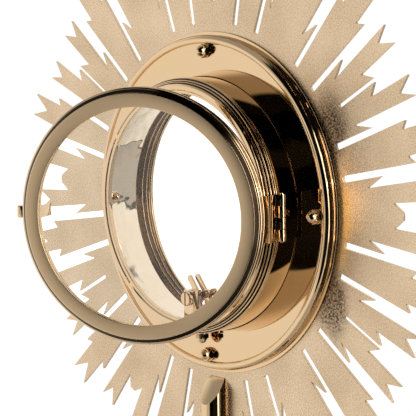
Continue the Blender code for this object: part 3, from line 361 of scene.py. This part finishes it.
GLASS, _, glass_shader = finish_tree("clear glass", (1.0, 1.0, 1.0), 0.0, 0.0)
glass_shader.inputs["Transmission Weight"].default_value = 1.0
glass_shader.inputs["IOR"].default_value = 1.45
print("plain materials made")

# %% [markdown]
# ## Turned pieces
# A lathe cuts a ring from a profile: radius against depth. Spinning the same profile in the mesh
# gives the same piece. Real edges are never quite sharp, so each corner of a profile becomes a
# short arc first, and those arcs carry the thin bright lines that make metal look like metal.


# %% Soften corners
def softened(points, reach, steps=3):
    soft = []
    for i, point in enumerate(points):
        corner, before = Vector(point), Vector(points[i - 1])
        after = Vector(points[(i + 1) % len(points)])
        a, b = before - corner, after - corner
        short = min(reach, a.length * 0.45, b.length * 0.45)
        if point[0] == 0 or short < 1e-6:
            soft.append(corner)
            continue
        start, end = corner + a.normalized() * short, corner + b.normalized() * short
        for k in range(steps + 1):
            t = k / steps
            soft.append(start * (1 - t) ** 2 + corner * (2 * t * (1 - t)) + end * t ** 2)
    return soft


# %% Take a finished mesh into the model
def install(name, mesh, body, nodes, finishes, smooth=35):
    for finish in finishes:
        mesh.materials.append(finish)
    mesh.shade_smooth()
    mesh.set_sharp_from_angle(angle=math.radians(smooth))
    name = "fine_" + name.replace(" ", "_")
    piece = bpy.data.objects.new(name, mesh)
    bpy.context.scene.collection.objects.link(piece)
    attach(piece, body)
    if nodes:
        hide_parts(*nodes)
    print(name, len(mesh.polygons), "faces")
    return piece


# %% Spin a profile
def spun(points, steps):
    """A closed line of (radius, height) points spun about Z, with its faces outwards."""
    bm = bmesh.new()
    verts = [bm.verts.new((p.x, 0, p.y)) for p in points]
    pairs = [(a, b) for a, b in zip(verts, verts[1:] + verts[:1]) if a.co.x > 0 or b.co.x > 0]
    edges = [bm.edges.new(pair) for pair in pairs]
    bmesh.ops.spin(bm, geom=verts + edges, cent=(0, 0, 0), axis=(0, 0, 1), angle=2 * math.pi,
                   steps=steps, use_merge=True)
    bmesh.ops.remove_doubles(bm, verts=bm.verts, dist=1e-7)
    bmesh.ops.recalc_face_normals(bm, faces=bm.faces)
    return bm


# %% Turn a piece
RING_STEPS = 180
TO_HEAD = Matrix.Translation(HEAD) @ Matrix.Rotation(-math.pi / 2, 4, "X")
UPRIGHT = Matrix.Identity(4)


def turned(name, profile, body, node, finishes, place=TO_HEAD, steps=RING_STEPS, reach=0.3 * MM,
           band=None):
    """Spin a closed (radius, height) profile in millimetres; band picks a finish for a face."""
    bm = spun(softened([(r * MM, h * MM) for r, h in profile], reach), steps)
    if band:
        for face in bm.faces:
            middle = face.calc_center_median()
            face.material_index = band(math.hypot(middle.x, middle.y) / MM, middle.z / MM)
    bm.transform(place)
    mesh = bpy.data.meshes.new(name)
    bm.to_mesh(mesh)
    bm.free()
    return install(name, mesh, body, [node] if node else [], finishes)


# %% [markdown]
# ## The case
# The case is a drum closed in front by a bezel with its glass, and behind by the mouth ring that
# the door closes on. A liner inside makes the bright wall seen past the open door. The flange
# outside it is a flat mirror with a raised rim. The front ring's bore is dark, with two thin
# bright beads turned in it.

# %% Turn the drum, liner and flange
turned("case drum", [(81.8, -2.0), (83.3, -2.0), (83.3, 24.0), (81.8, 24.0)], "stand",
       "case_drum", [POLISHED])
turned("case liner", [(76.6, 3.6), (78.0, 3.6), (78.0, 27.0), (76.6, 27.0)], "stand", "case_liner", [WALL])
LIP, SHOULDER, RIM = 106.8, 3.6, 8.3     # radius inside the shoulder, its reach, the rim's height
FACE_HEIGHT, UNDERSIDE = 7.0, 5.4
shoulder = [(LIP + SHOULDER * math.sin(a), RIM - SHOULDER * (1 - math.cos(a)))
            for a in (math.radians(d) for d in (72, 60, 48, 36, 24, 12, 0))]
flange = [(112.4, 0.3), (112.4, 1.4), (109.7, 1.4), (110.4, 2.3)] + shoulder + [
    (105.9, RIM), (105.6, RIM - 0.35), (105.35, RIM), (104.9, 7.5), (104.8, FACE_HEIGHT),
    (83.6, FACE_HEIGHT), (83.6, UNDERSIDE), (105.8, UNDERSIDE), (107.8, 4.4), (108.6, 0.3)]
turned("rear flange", flange, "stand", "rear_flange", [POLISHED], reach=0.25 * MM)

# %% Turn the mouth ring, with three beads parted by dark grooves
MOUTH_GROOVES = ((25.7, 26.3), (27.3, 28.0), (29.0, 29.6))


# Faces deep in the grooves get the painted groove shade.
def mouth_bands(radius, depth):
    deep = any(low < depth < high for low, high in MOUTH_GROOVES)
    return 1 if deep and radius > 78.5 else 0


mouth = [(83.3, 24.3), (83.3, 25.4), (82.9, 25.7), (81.2, 25.9), (81.1, 26.2), (82.1, 26.5),
         (82.0, 27.1), (81.5, 27.3), (79.9, 27.5), (79.8, 27.9), (80.8, 28.1), (80.9, 28.6),
         (80.4, 29.0), (79.2, 29.2), (79.1, 29.5), (79.7, 29.8), (79.6, 30.6), (78.9, 31.6),
         (76.0, 31.6), (75.4, 30.8), (73.6, 30.4), (73.6, 27.3), (78.3, 27.3), (78.3, 24.3)]
turned("mouth ring", mouth, "stand", "mouth_ring", [POLISHED, GROOVE], reach=0.2 * MM,
       band=mouth_bands)


# %% Turn the front bezel
def front_bands(radius, depth):
    return 1 if 76.35 < radius < 77.5 and depth < 3.2 else 0


bore = [(76.6, 3.3)]
for centre in (-1.8, -5.6):
    bore += [(76.6, centre + 0.7), (76.1, centre + 0.25), (76.1, centre - 0.25), (76.6, centre - 0.7)]
bezel = bore + [(76.6, -8.0), (79.5, -8.0), (79.5, -13.0), (81.5, -13.6), (86.0, -11.5), (88.0, -7.5),
                (105.0, -6.0), (107.0, -4.8), (107.0, -2.3), (81.5, -2.3), (81.5, 3.3)]
turned("front bezel", bezel, "stand", "front_bezel", [POLISHED, SHADED], band=front_bands)
turned("front glass ring", [(76.6, -12.6), (79.2, -12.6), (79.2, -10.6), (76.6, -10.6)], "stand",
       "front_glass_ring", [POLISHED])

# %% [markdown]
# ## The rear door
# The door is one heavy ring with a brushed face, a dark bevel outside it, and two beads with a
# dark groove between them round its edge. Its glass sits behind the face's lip and is held by a
# thin ring. It is turned closed and swung open with its mesh, so its object stays unturned.

# %% Turn the door's rings
IN_DOOR = SWING @ TO_HEAD
FACE = 46.3
DOOR_GROOVES = ((43.9, FACE - 0.2), (38.7, 40.7))


# Faces in the bevel outside the face and in the groove between the beads get the painted groove shade.
def door_bands(radius, depth):
    if depth > FACE - 0.05 and radius > 68.4:
        return 1
    deep = any(low < depth < high for low, high in DOOR_GROOVES)
    return 2 if radius > 77.1 and deep else 0


door = [(68.4, FACE), (77.0, FACE), (79.7, 43.6), (80.4, 43.4), (80.9, 42.8), (80.9, 41.8),
        (80.3, 41.2), (79.4, 40.9), (79.2, 40.0), (79.2, 39.4), (79.4, 38.5), (80.2, 38.3),
        (80.8, 37.8), (80.8, 37.0), (80.2, 36.5), (79.6, 35.6), (79.6, 32.0), (72.6, 32.0),
        (72.6, 44.5), (68.4, 44.5)]
turned("door ring", door, "door", "door_ring", [POLISHED_DOOR, DOOR_FACE, GROOVE_DOOR],
       place=IN_DOOR, reach=0.35 * MM, band=door_bands)
turned("door glass ring", [(69.1, 39.9), (72.3, 39.9), (72.3, 41.9), (69.1, 41.9)], "door",
       "door_glass_ring", [POLISHED_DOOR], place=IN_DOOR)

# %% [markdown]
# ## The ray plate
# The sunburst is one sheet with a rule: slots in pairs, a tall double-pointed ray between the
# slots of a pair, and two forked rays between one pair and the next, with a short slot or a broad
# tooth in the middle by turns. One function walks round the rule and gives the outline as
# (angle, radius) points. A flat filled curve with a thickness is the natural way to make sheet.

# %% Write down the rule of the rays
TALL_RAYS = 12
TALL_DEG, STEM_DEG = 9.8, 26.2
PAIR_DEG = (360 - STEM_DEG - TALL_RAYS * TALL_DEG) / (TALL_RAYS - 1)
SLOT_ROOT, SLOT_WIDTH = 118.2, 4.2
SHORT_ROOT, SHORT_WIDTH = 131.8, 2.6


def polar(degrees, radius):
    a = math.radians(degrees)
    return (radius * math.sin(a) * MM, -radius * math.cos(a) * MM)


def slot_points(degrees, ends, root, width):
    points = []
    for side, radius in ((-1, ends[0]), (-1, root), (1, root), (1, ends[1])):
        points.append(polar(degrees + side * math.degrees(math.asin(width / 2 / radius)), radius))
    return points


def mirrored(centre, half):
    left = [polar(centre - a, r) for a, r in half]
    return left, [polar(centre + a, r) for a, r in reversed(half)]


# %% Walk round the outline
def forked_pair(centre, half_deg, split):
    wider = half_deg - PAIR_DEG / 2
    half = [(wider + 6.6, 137.5), (wider + 7.2, 191.0), (wider + 5.4, 179.3),
            (wider + 3.2, 191.0), (wider + 2.8, 157.5)]
    left, right = mirrored(centre, half)
    if split:
        return left + slot_points(centre, (165.0, 165.0), SHORT_ROOT, SHORT_WIDTH) + right
    return left + [polar(centre - wider - 0.8, 165.0), polar(centre + wider + 0.8, 165.0)] + right


def ray_outline():
    points = forked_pair(0, STEM_DEG / 2, False)
    angle = STEM_DEG / 2
    for k in range(TALL_RAYS):
        points += slot_points(angle, (150.2, 177.7), SLOT_ROOT, SLOT_WIDTH)
        left, right = mirrored(angle + TALL_DEG / 2, [(2.65, 173.3), (2.2, 203.5)])
        points += left + [polar(angle + TALL_DEG / 2, 188.0)] + right
        angle += TALL_DEG
        points += slot_points(angle, (177.7, 150.2), SLOT_ROOT, SLOT_WIDTH)
        if k < TALL_RAYS - 1:
            points += forked_pair(angle + PAIR_DEG / 2, PAIR_DEG / 2, k % 2 == 1)
            angle += PAIR_DEG
    return points


# %% Fill the outline and give it a thickness
def sheet_mesh(name, outlines, depth_low, depth_high, edge=0.12 * MM, place=HEAD):
    """A filled sheet from (x, z) outlines, with its cut edges as the second finish."""
    curve = bpy.data.curves.new(name, "CURVE")
    curve.dimensions, curve.fill_mode = "2D", "BOTH"
    curve.extrude = (depth_high - depth_low) * MM / 2 - edge
    curve.bevel_depth, curve.bevel_resolution, curve.offset = edge, 1, -edge
    for outline in outlines:
        spline = curve.splines.new("POLY")
        spline.points.add(len(outline) - 1)
        for point, (x, z) in zip(spline.points, outline):
            point.co = (x, z, 0, 1)
        spline.use_cyclic_u = True
    helper = bpy.data.objects.new(name, curve)
    bpy.context.scene.collection.objects.link(helper)
    depsgraph = bpy.context.evaluated_depsgraph_get()
    mesh = bpy.data.meshes.new_from_object(helper.evaluated_get(depsgraph))
    bpy.data.objects.remove(helper)
    bm = bmesh.new()
    bm.from_mesh(mesh)
    bmesh.ops.remove_doubles(bm, verts=bm.verts, dist=1e-6)
    bm.transform(Matrix.Translation(place) @ Matrix.Translation((0, (depth_low + depth_high) / 2 * MM, 0))
                 @ Matrix.Rotation(math.pi / 2, 4, "X"))
    for face in bm.faces:
        face.material_index = 0 if abs(face.normal.y) > 0.9 else 1
    bm.to_mesh(mesh)
    bm.free()
    mesh.materials.clear()
    return mesh


# %% Cut the ray plate
def ring_points(radius, steps, x=0.0, z=0.0):
    turns = [2 * math.pi * k / steps for k in range(steps)]
    return [((x + radius * math.cos(a)) * MM, (z + radius * math.sin(a)) * MM) for a in turns]


outline = [tuple(p) for p in softened(ray_outline(), 0.9 * MM, 4)]
install("ray plate", sheet_mesh("ray plate", [outline, ring_points(83.6, RING_STEPS)], -2.0, 0.0), "stand",
        ["ray_plate"], [SATIN, CUT_EDGE], smooth=12)

# %% [markdown]
# ## Cap nuts and washers
# Four domed nuts hold the flange. They repeat, so Geometry Nodes places them: a mesh circle gives
# one point for each nut, an instance goes on each, and the tree ends by making the instances real
# and giving them their finish. The nut itself is a hexagon whose corners are turned off at both
# ends, with a dome.


# %% Shape one nut
def nut_mesh(flats=8.0, hexagon=3.0, height=6.6, sides=6, per_side=10):
    dome, dome_base = flats * 0.47, hexagon - 1.0
    levels = [(0.0, 4.25), (0.3, 4.7), (hexagon - 0.35, 4.7), (hexagon, 4.15)]
    for degrees in (14, 28, 42, 56, 70, 80, 87):
        a = math.radians(degrees)
        levels.append((dome_base + (height - dome_base) * math.sin(a), dome * math.cos(a)))
    bm = bmesh.new()
    rings = []
    for z, limit in levels:
        ring = []
        for k in range(sides * per_side):
            a = 2 * math.pi * k / (sides * per_side)
            within = (a + math.pi / sides) % (2 * math.pi / sides) - math.pi / sides
            radius = min(flats / 2 / math.cos(within), limit)
            ring.append(bm.verts.new((radius * math.cos(a) * MM, radius * math.sin(a) * MM, z * MM)))
        rings.append(ring)
    for low, high in zip(rings, rings[1:]):
        for k in range(len(low)):
            j = (k + 1) % len(low)
            bm.faces.new((low[k], low[j], high[j], high[k]))
    bm.faces.new(rings[0])
    bm.faces.new(rings[-1])
    bmesh.ops.recalc_face_normals(bm, faces=bm.faces)
    mesh = bpy.data.meshes.new("nut")
    bm.to_mesh(mesh)
    bm.free()
    return mesh


# %% Build the tree that sets pieces round a circle
class Geometry:
    """A Geometry Nodes tree under construction, with named inputs."""

    def __init__(self, name, inputs):
        self.group = bpy.data.node_groups.new(name, "GeometryNodeTree")
        self.group.interface.new_socket("Geometry", in_out="OUTPUT", socket_type="NodeSocketGeometry")
        self.keys = {}
        for label, kind in inputs:
            made = self.group.interface.new_socket(label, in_out="INPUT", socket_type=kind)
            self.keys[label] = made.identifier
        self.source = self.group.nodes.new("NodeGroupInput")
        self.sink = self.group.nodes.new("NodeGroupOutput")

    def node(self, kind, settings=None, inputs=None, output=0):
        made = self.group.nodes.new(kind)
        for key, value in (settings or {}).items():
            setattr(made, key, value)
        for key, value in (inputs or {}).items():
            if isinstance(value, bpy.types.NodeSocket):
                self.group.links.new(value, made.inputs[key])
            else:
                made.inputs[key].default_value = value
        return made.outputs[output]

    def value(self, label):
        return self.source.outputs[label]

    def close(self, geometry):
        real = self.node("GeometryNodeRealizeInstances", None, {0: geometry})
        dressed = self.node("GeometryNodeSetMaterial", None,
                            {"Geometry": real, "Material": self.value("Finish")})
        self.group.links.new(dressed, self.sink.inputs[0])

    def run(self, name, values):
        helper = bpy.data.objects.new(name, bpy.data.meshes.new(name))
        bpy.context.scene.collection.objects.link(helper)
        modifier = helper.modifiers.new(name, "NODES")
        modifier.node_group = self.group
        for label, value in values.items():
            modifier[self.keys[label]] = value
        depsgraph = bpy.context.evaluated_depsgraph_get()
        mesh = bpy.data.meshes.new_from_object(helper.evaluated_get(depsgraph))
        bpy.data.objects.remove(helper)
        return mesh


round_circle = Geometry("pieces round a circle", [
    ("Piece", "NodeSocketObject"), ("Count", "NodeSocketInt"), ("Circle radius", "NodeSocketFloat"),
    ("Depth", "NodeSocketFloat"), ("Finish", "NodeSocketMaterial")])
circle = round_circle.node("GeometryNodeMeshCircle", None, {"Vertices": round_circle.value("Count"),
                                                            "Radius": round_circle.value("Circle radius")})
model = round_circle.node("GeometryNodeObjectInfo", None, {"Object": round_circle.value("Piece")}, "Geometry")
many = round_circle.node("GeometryNodeInstanceOnPoints", None, {"Points": circle, "Instance": model})
lift = round_circle.node("ShaderNodeCombineXYZ", None, {"Z": round_circle.value("Depth")})
raised = round_circle.node("GeometryNodeTransform", None, {"Geometry": many, "Translation": lift})
round_circle.close(raised)


# %% Set the nuts and washers round the flange
def scratch(name, mesh):
    made = bpy.data.objects.new(name, mesh)
    bpy.context.scene.collection.objects.link(made)
    return made


def around_flange(name, pattern, depth, nodes):
    mesh = round_circle.run(name, {"Piece": pattern, "Count": NUT_COUNT, "Circle radius": STUD_CIRCLE * MM,
                                   "Depth": depth * MM, "Finish": POLISHED})
    mesh.transform(TO_HEAD)
    mesh.materials.clear()
    install(name, mesh, "stand", nodes, [POLISHED], 25)


STUD_CIRCLE, NUT_COUNT = 100.0, 4
NUT_DEPTH, WASHER_DEPTH = 8.2, 7.3
WASHER_STEPS = 48


def washer_mesh(inner, outer, thickness):
    profile = [(inner, 0), (outer, 0), (outer, thickness), (inner, thickness)]
    bm = spun(softened([(r * MM, h * MM) for r, h in profile], 0.15 * MM), WASHER_STEPS)
    mesh = bpy.data.meshes.new("washer")
    bm.to_mesh(mesh)
    bm.free()
    return mesh


SIDES = ("top", "hinge_side", "bottom", "catch_side")
nut, washer = scratch("nut pattern", nut_mesh()), scratch("washer pattern", washer_mesh(2.8, 4.7, 0.6))
around_flange("cap nuts", nut, NUT_DEPTH, ["cap_nut_" + side for side in SIDES])
around_flange("washers", washer, WASHER_DEPTH, ["washer_" + side for side in SIDES])
clip_nut = nut.data.copy()
low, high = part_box("cap_nut_clip")
clip_nut.transform(Matrix.Translation(((low.x + high.x) / 2, (low.y + high.y) / 2, high.z))
                   @ Matrix.Rotation(math.pi, 4, "X"))
install("clip nut", clip_nut, "stand", ["cap_nut_clip"], [POLISHED], 25)
bpy.data.objects.remove(nut)
bpy.data.objects.remove(washer)

# %% [markdown]
# ## Small machined parts
# The hinge, the clip and the catch already have their right shape in the mechanical model, but
# every edge there is perfectly sharp. A copy of each is cleaned of its flat triangles and gets a
# small bevel, as a file or a tumbling barrel would leave it.


# %% Bevel copies of the machined parts
def machined(node, body, finish, width=0.15 * MM):
    mesh = frame["nodes"][node].data.copy()
    mesh.materials.clear()
    bm = bmesh.new()
    bm.from_mesh(mesh)
    bmesh.ops.remove_doubles(bm, verts=bm.verts, dist=2e-6)
    bmesh.ops.dissolve_limit(bm, angle_limit=math.radians(1), verts=bm.verts, edges=bm.edges)
    sharp = [e for e in bm.edges if len(e.link_faces) == 2 and e.calc_face_angle() > math.radians(35)]
    bmesh.ops.bevel(bm, geom=sharp, offset=width, segments=2, profile=0.6, affect="EDGES", clamp_overlap=True)
    bm.to_mesh(mesh)
    bm.free()
    return install(node.replace("_", " "), mesh, body, [node], [finish], 30)


for node in ("clip_bracket", "clip_fixed_jaw", "hinge_leaf_case", "catch_body", "clip_saddle"):
    machined(node, "stand", POLISHED)
for node in ("hinge_leaf_door", "door_tab", "door_tongue"):
    machined(node, "door", POLISHED_DOOR)
machined("clip_moving_jaw", "clip_jaw", POLISHED)
machined("clamp_screw", "clamp_screw", POLISHED)
machined("hinge_pin", "stand", POLISHED)

# %% [markdown]
# ## The stand
# The rear rod is a plain bar, flatted against the plate and sawn off at a slant. Below it the
# stem, the knop and the foot are turned. They carry the fine beads and coves that a turner adds
# where two pieces meet.

# %% Turn the stem and foot
BORE = 4.3
machined("stem_rod", "stand", POLISHED_STEM)


def stem_piece(name, node, profile, reach=0.6 * MM, steps=96):
    turned(name, profile, "stand", node, [POLISHED_STEM], place=UPRIGHT, steps=steps, reach=reach)


def levels(node):
    low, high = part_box(node)
    return low.z / MM, high.z / MM


z0, z1 = levels("foot_shell")
rise = z1 - z0
shape = [(97.0, 0.135), (96.0, 0.155), (94.0, 0.165), (90.0, 0.19),
         (70.0, 0.32), (45.0, 0.48), (26.0, 0.69), (17.0, 0.91)]
outer = [(r, z0 + rise * h) for r, h in shape]
inner = [(r - 1.2, h - 2.4) for r, h in reversed(outer) if r not in (96.0, 94.0)]
foot = ([(100.0, z0), (100.0, z0 + 3.6), (98.6, z0 + 4.6)] + outer
        + [(15.0, z1), (BORE, z1), (BORE, inner[0][1])] + inner + [(98.3, z0 + 1.8), (98.3, z0)])
stem_piece("foot", "foot_shell", foot, 1.6 * MM, RING_STEPS)

z0, z1 = levels("stem_lower")
span = z1 - z0
lower = [(BORE, z0), (15.0, z0), (15.0, z0 + 3.0), (13.4, z0 + 4.0), (12.6, z0 + 6.0),
         (10.95, z0 + 8.0), (8.5, z0 + span * 0.3), (8.0, z0 + span * 0.56),
         (9.0, z0 + span * 0.84), (12.0, z1 - 4.0), (12.0, z1), (BORE, z1)]
stem_piece("lower stem", "stem_lower", lower, 1.2 * MM)
for name in ("knop_lower_collar", "knop_upper_collar"):
    z0, z1 = levels(name)
    collar = [(BORE, z0), (16.5, z0), (18.0, z0 + 1.8), (17.4, z0 + 2.6),
              (17.4, z1 - 2.6), (18.0, z1 - 1.8), (16.5, z1), (BORE, z1)]
    stem_piece(name.replace("_", " "), name, collar, 0.5 * MM)
z0, z1 = levels("knop")
belly = [(12.4, 0), (21.1, 0.12), (25.9, 0.30), (27.0, 0.46), (26.3, 0.485),
         (26.3, 0.515), (27.0, 0.54), (25.9, 0.70), (21.1, 0.88), (12.4, 1)]
knop = [(BORE, z0)] + [(r, z0 + (z1 - z0) * h) for r, h in belly] + [(BORE, z1)]
stem_piece("knop", "knop", knop, 1.5 * MM, 128)
z0, z1 = levels("stem_socket")
floor = z1 - 26.0
socket = [(BORE, z0), (12.0, z0), (12.0, z0 + 4.0), (9.6, z0 + 10.0), (11.5, floor - 4.0),
          (12.5, floor + 2.0), (12.5, floor + 3.4), (12.0, floor + 4.0), (12.5, floor + 4.6),
          (12.5, z1 - 2.0), (11.0, z1), (8.5, z1), (8.5, floor), (BORE, floor)]
stem_piece("stem socket", "stem_socket", socket, 0.5 * MM)

# %% Dress the parts that stay as they are
STAYING = {"felt_pad": FELT, "base_plate": BRASS, "foot_spacer": BRASS, "foot_weight": IRON,
           "catch_plunger": POLISHED, "front_glass": GLASS, "door_glass": GLASS}
for node in ("tie_rod", "tie_rod_nut", "socket_screw", "plate_screw_upper", "plate_screw_lower",
             "clip_bolt", "catch_spring", *("stud_" + side for side in SIDES)):
    STAYING[node] = STEEL
for node, finish in STAYING.items():
    mesh = frame["nodes"][node].data
    mesh.materials.clear()
    mesh.materials.append(finish)
print(len(STAYING), "nodes dressed")

# %% [markdown]
# ## Light
# A polished piece shows its surroundings, so the light is built as a surrounding: a soft white
# tent with dark openings on the side that the drum's flank mirrors, a grey panel with ragged dark
# borders that the inner wall mirrors, and two bright strips for the beads. It lives in the world's
# shader as soft-edged patches, each a direction with a width. The backdrop is plain white, and a
# little brighter through the glasses, because glass takes some light away.

# %% Build the tent
world = bpy.data.worlds.new("tent")
bpy.context.scene.world = world
tent = Tree(world)
direction = tent.node("ShaderNodeTexCoord", output="Generated")


def heading(azimuth, elevation):
    """A direction, with azimuth 0 straight behind the head and growing towards the hinge."""
    a, e = math.radians(azimuth), math.radians(elevation)
    return (-math.sin(a) * math.cos(e), math.cos(a) * math.cos(e), math.sin(e))


def patch(azimuth, elevation, inside, outside, ragged=0.0):
    """1 within the inner angle of a direction, falling to 0 at the outer one."""
    along = tent.node("ShaderNodeVectorMath", {"operation": "DOT_PRODUCT"},
                      {0: direction, 1: heading(azimuth, elevation)}, "Value") + ragged
    return tent.node("ShaderNodeMapRange", {"interpolation_type": "SMOOTHSTEP"},
                     {0: along, 1: math.cos(math.radians(outside)), 2: math.cos(math.radians(inside))})


# Each patch is azimuth, elevation, inner angle and outer angle; grey ones end with their depth.
BLACK = ((47, -11, 34, 36.5), (30, 24, 30, 35), (8, 46, 19, 24), (64, 66, 24, 30), (128, 68, 14, 24))
GREY = ((4, -6, 10, 26, 0.40), (-30, 58, 30, 50, 0.6), (30, -62, 20, 40, 0.4), (0, -90, 30, 60, 0.3))
STRIPS = ((98, -4), (98, 26))
WHITE_LEVEL, THROUGH_GLASS, STRIP_GAIN = 1.05, 1.5, 1.8
brightness = 1.0
for azimuth, elevation, inside, outside in BLACK:
    brightness = brightness * (1.0 - patch(azimuth, elevation, inside, outside) * 0.99)
for azimuth, elevation, inside, outside, depth in GREY:
    brightness = brightness * (1.0 - patch(azimuth, elevation, inside, outside) * depth)
fold = patch(136.5, -23.6, 21.5, 26.0, noise(tent, direction, 9.0, 4.0, 0.7) * 0.06 - 0.03)
brightness = brightness * (1.0 - fold * 0.5) * (1.0 - fold * (1.0 - fold) * 3.7)
for azimuth, elevation in STRIPS:
    brightness = brightness * (1.0 + patch(azimuth, elevation, 16, 22) * STRIP_GAIN)
rays = tent.node("ShaderNodeLightPath").socket.node
paths = {label: Link(tent, rays.outputs[label]) for label in
         ("Is Camera Ray", "Is Transmission Ray", "Glossy Depth", "Diffuse Depth")}
bounced = (paths["Glossy Depth"] + paths["Diffuse Depth"]).maths("MINIMUM", 1.0)
through = paths["Is Transmission Ray"] * (1.0 - bounced)
seen = paths["Is Camera Ray"] + through
strength = (paths["Is Camera Ray"] * WHITE_LEVEL + through * THROUGH_GLASS
            + (1.0 - seen) * brightness * WHITE_LEVEL)
tent.feed(tent.nodes["Background"].inputs["Strength"], strength)
tent.feed(tent.nodes["Background"].inputs["Color"], (1, 1, 1, 1))
bpy.context.scene.view_settings.view_transform = "Standard"
print("tent", len(BLACK), "dark patches,", len(GREY), "grey,", len(STRIPS), "bright strips")

# %% [markdown]
# ## Floor
# A pale disc, fading out at its edge into the white surrounding.

# %% Lay the floor
FLOOR_RADIUS, FADE_END, FADE_START = 0.62, 0.6, 0.2
floor_mesh = bpy.data.meshes.new("floor")
bm = bmesh.new()
bmesh.ops.create_circle(bm, cap_ends=True, segments=96, radius=FLOOR_RADIUS)
bm.to_mesh(floor_mesh)
bm.free()
PAPER, paper, paper_shader = finish_tree("pale floor", (0.86, 0.86, 0.85), 0.7, 0.0)
away = paper.node("ShaderNodeVectorMath", {"operation": "LENGTH"},
                  {0: paper.node("ShaderNodeTexCoord", output="Object")}, "Value")
fade = paper.node("ShaderNodeMapRange", {"interpolation_type": "SMOOTHSTEP"},
                  {0: away, 1: FADE_END, 2: FADE_START})
paper.feed(paper_shader.inputs["Alpha"], fade)
floor_mesh.materials.append(PAPER)
scratch("floor", floor_mesh)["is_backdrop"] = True
print("floor", FLOOR_RADIUS, "m in radius")

# %% [markdown]
# ## Camera
# The view is from behind and to the hinge side, a little above the head, through a long lens.

# %% Set the camera
UNIT = 110 * MM
DISTANCE, SHIFT_LEFT, SHIFT_DOWN = 11.0564, 0.0451, 0.0307    # in units
LENS, SENSOR = 159.9, 36.0
AZIMUTH, ELEVATION, ROLL = math.radians(47.92), math.radians(6.98), math.radians(0.75)
sa, ca, se, ce = math.sin(AZIMUTH), math.cos(AZIMUTH), math.sin(ELEVATION), math.cos(ELEVATION)
back, right, up = Vector((-sa * ce, ca * ce, se)), Vector((-ca, -sa, 0)), Vector((sa * se, -ca * se, ce))
side = right * math.cos(ROLL) - up * math.sin(ROLL)
top = up * math.cos(ROLL) + right * math.sin(ROLL)
camera = bpy.data.objects.new("camera", bpy.data.cameras.new("camera"))
bpy.context.scene.collection.objects.link(camera)
camera.data.lens, camera.data.sensor_width = LENS, SENSOR
camera.data.clip_start, camera.data.clip_end = 0.05, 50.0
eye = HEAD + (back * DISTANCE - right * SHIFT_LEFT - up * SHIFT_DOWN) * UNIT
camera.matrix_world = Matrix.Translation(eye) @ Matrix((side, top, back)).transposed().to_4x4()
bpy.context.scene.camera = camera
print("camera", [round(v, 3) for v in eye])

# %% [markdown]
# ## The size of the fine model
# The box round every piece shown, leaving out the floor, is printed in millimetres. The
# fine model must not outgrow the mechanical one.

# %% Print the fine model's box
low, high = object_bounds()
print("visual", [round(v * 1000, 1) for v in high - low], "mm")
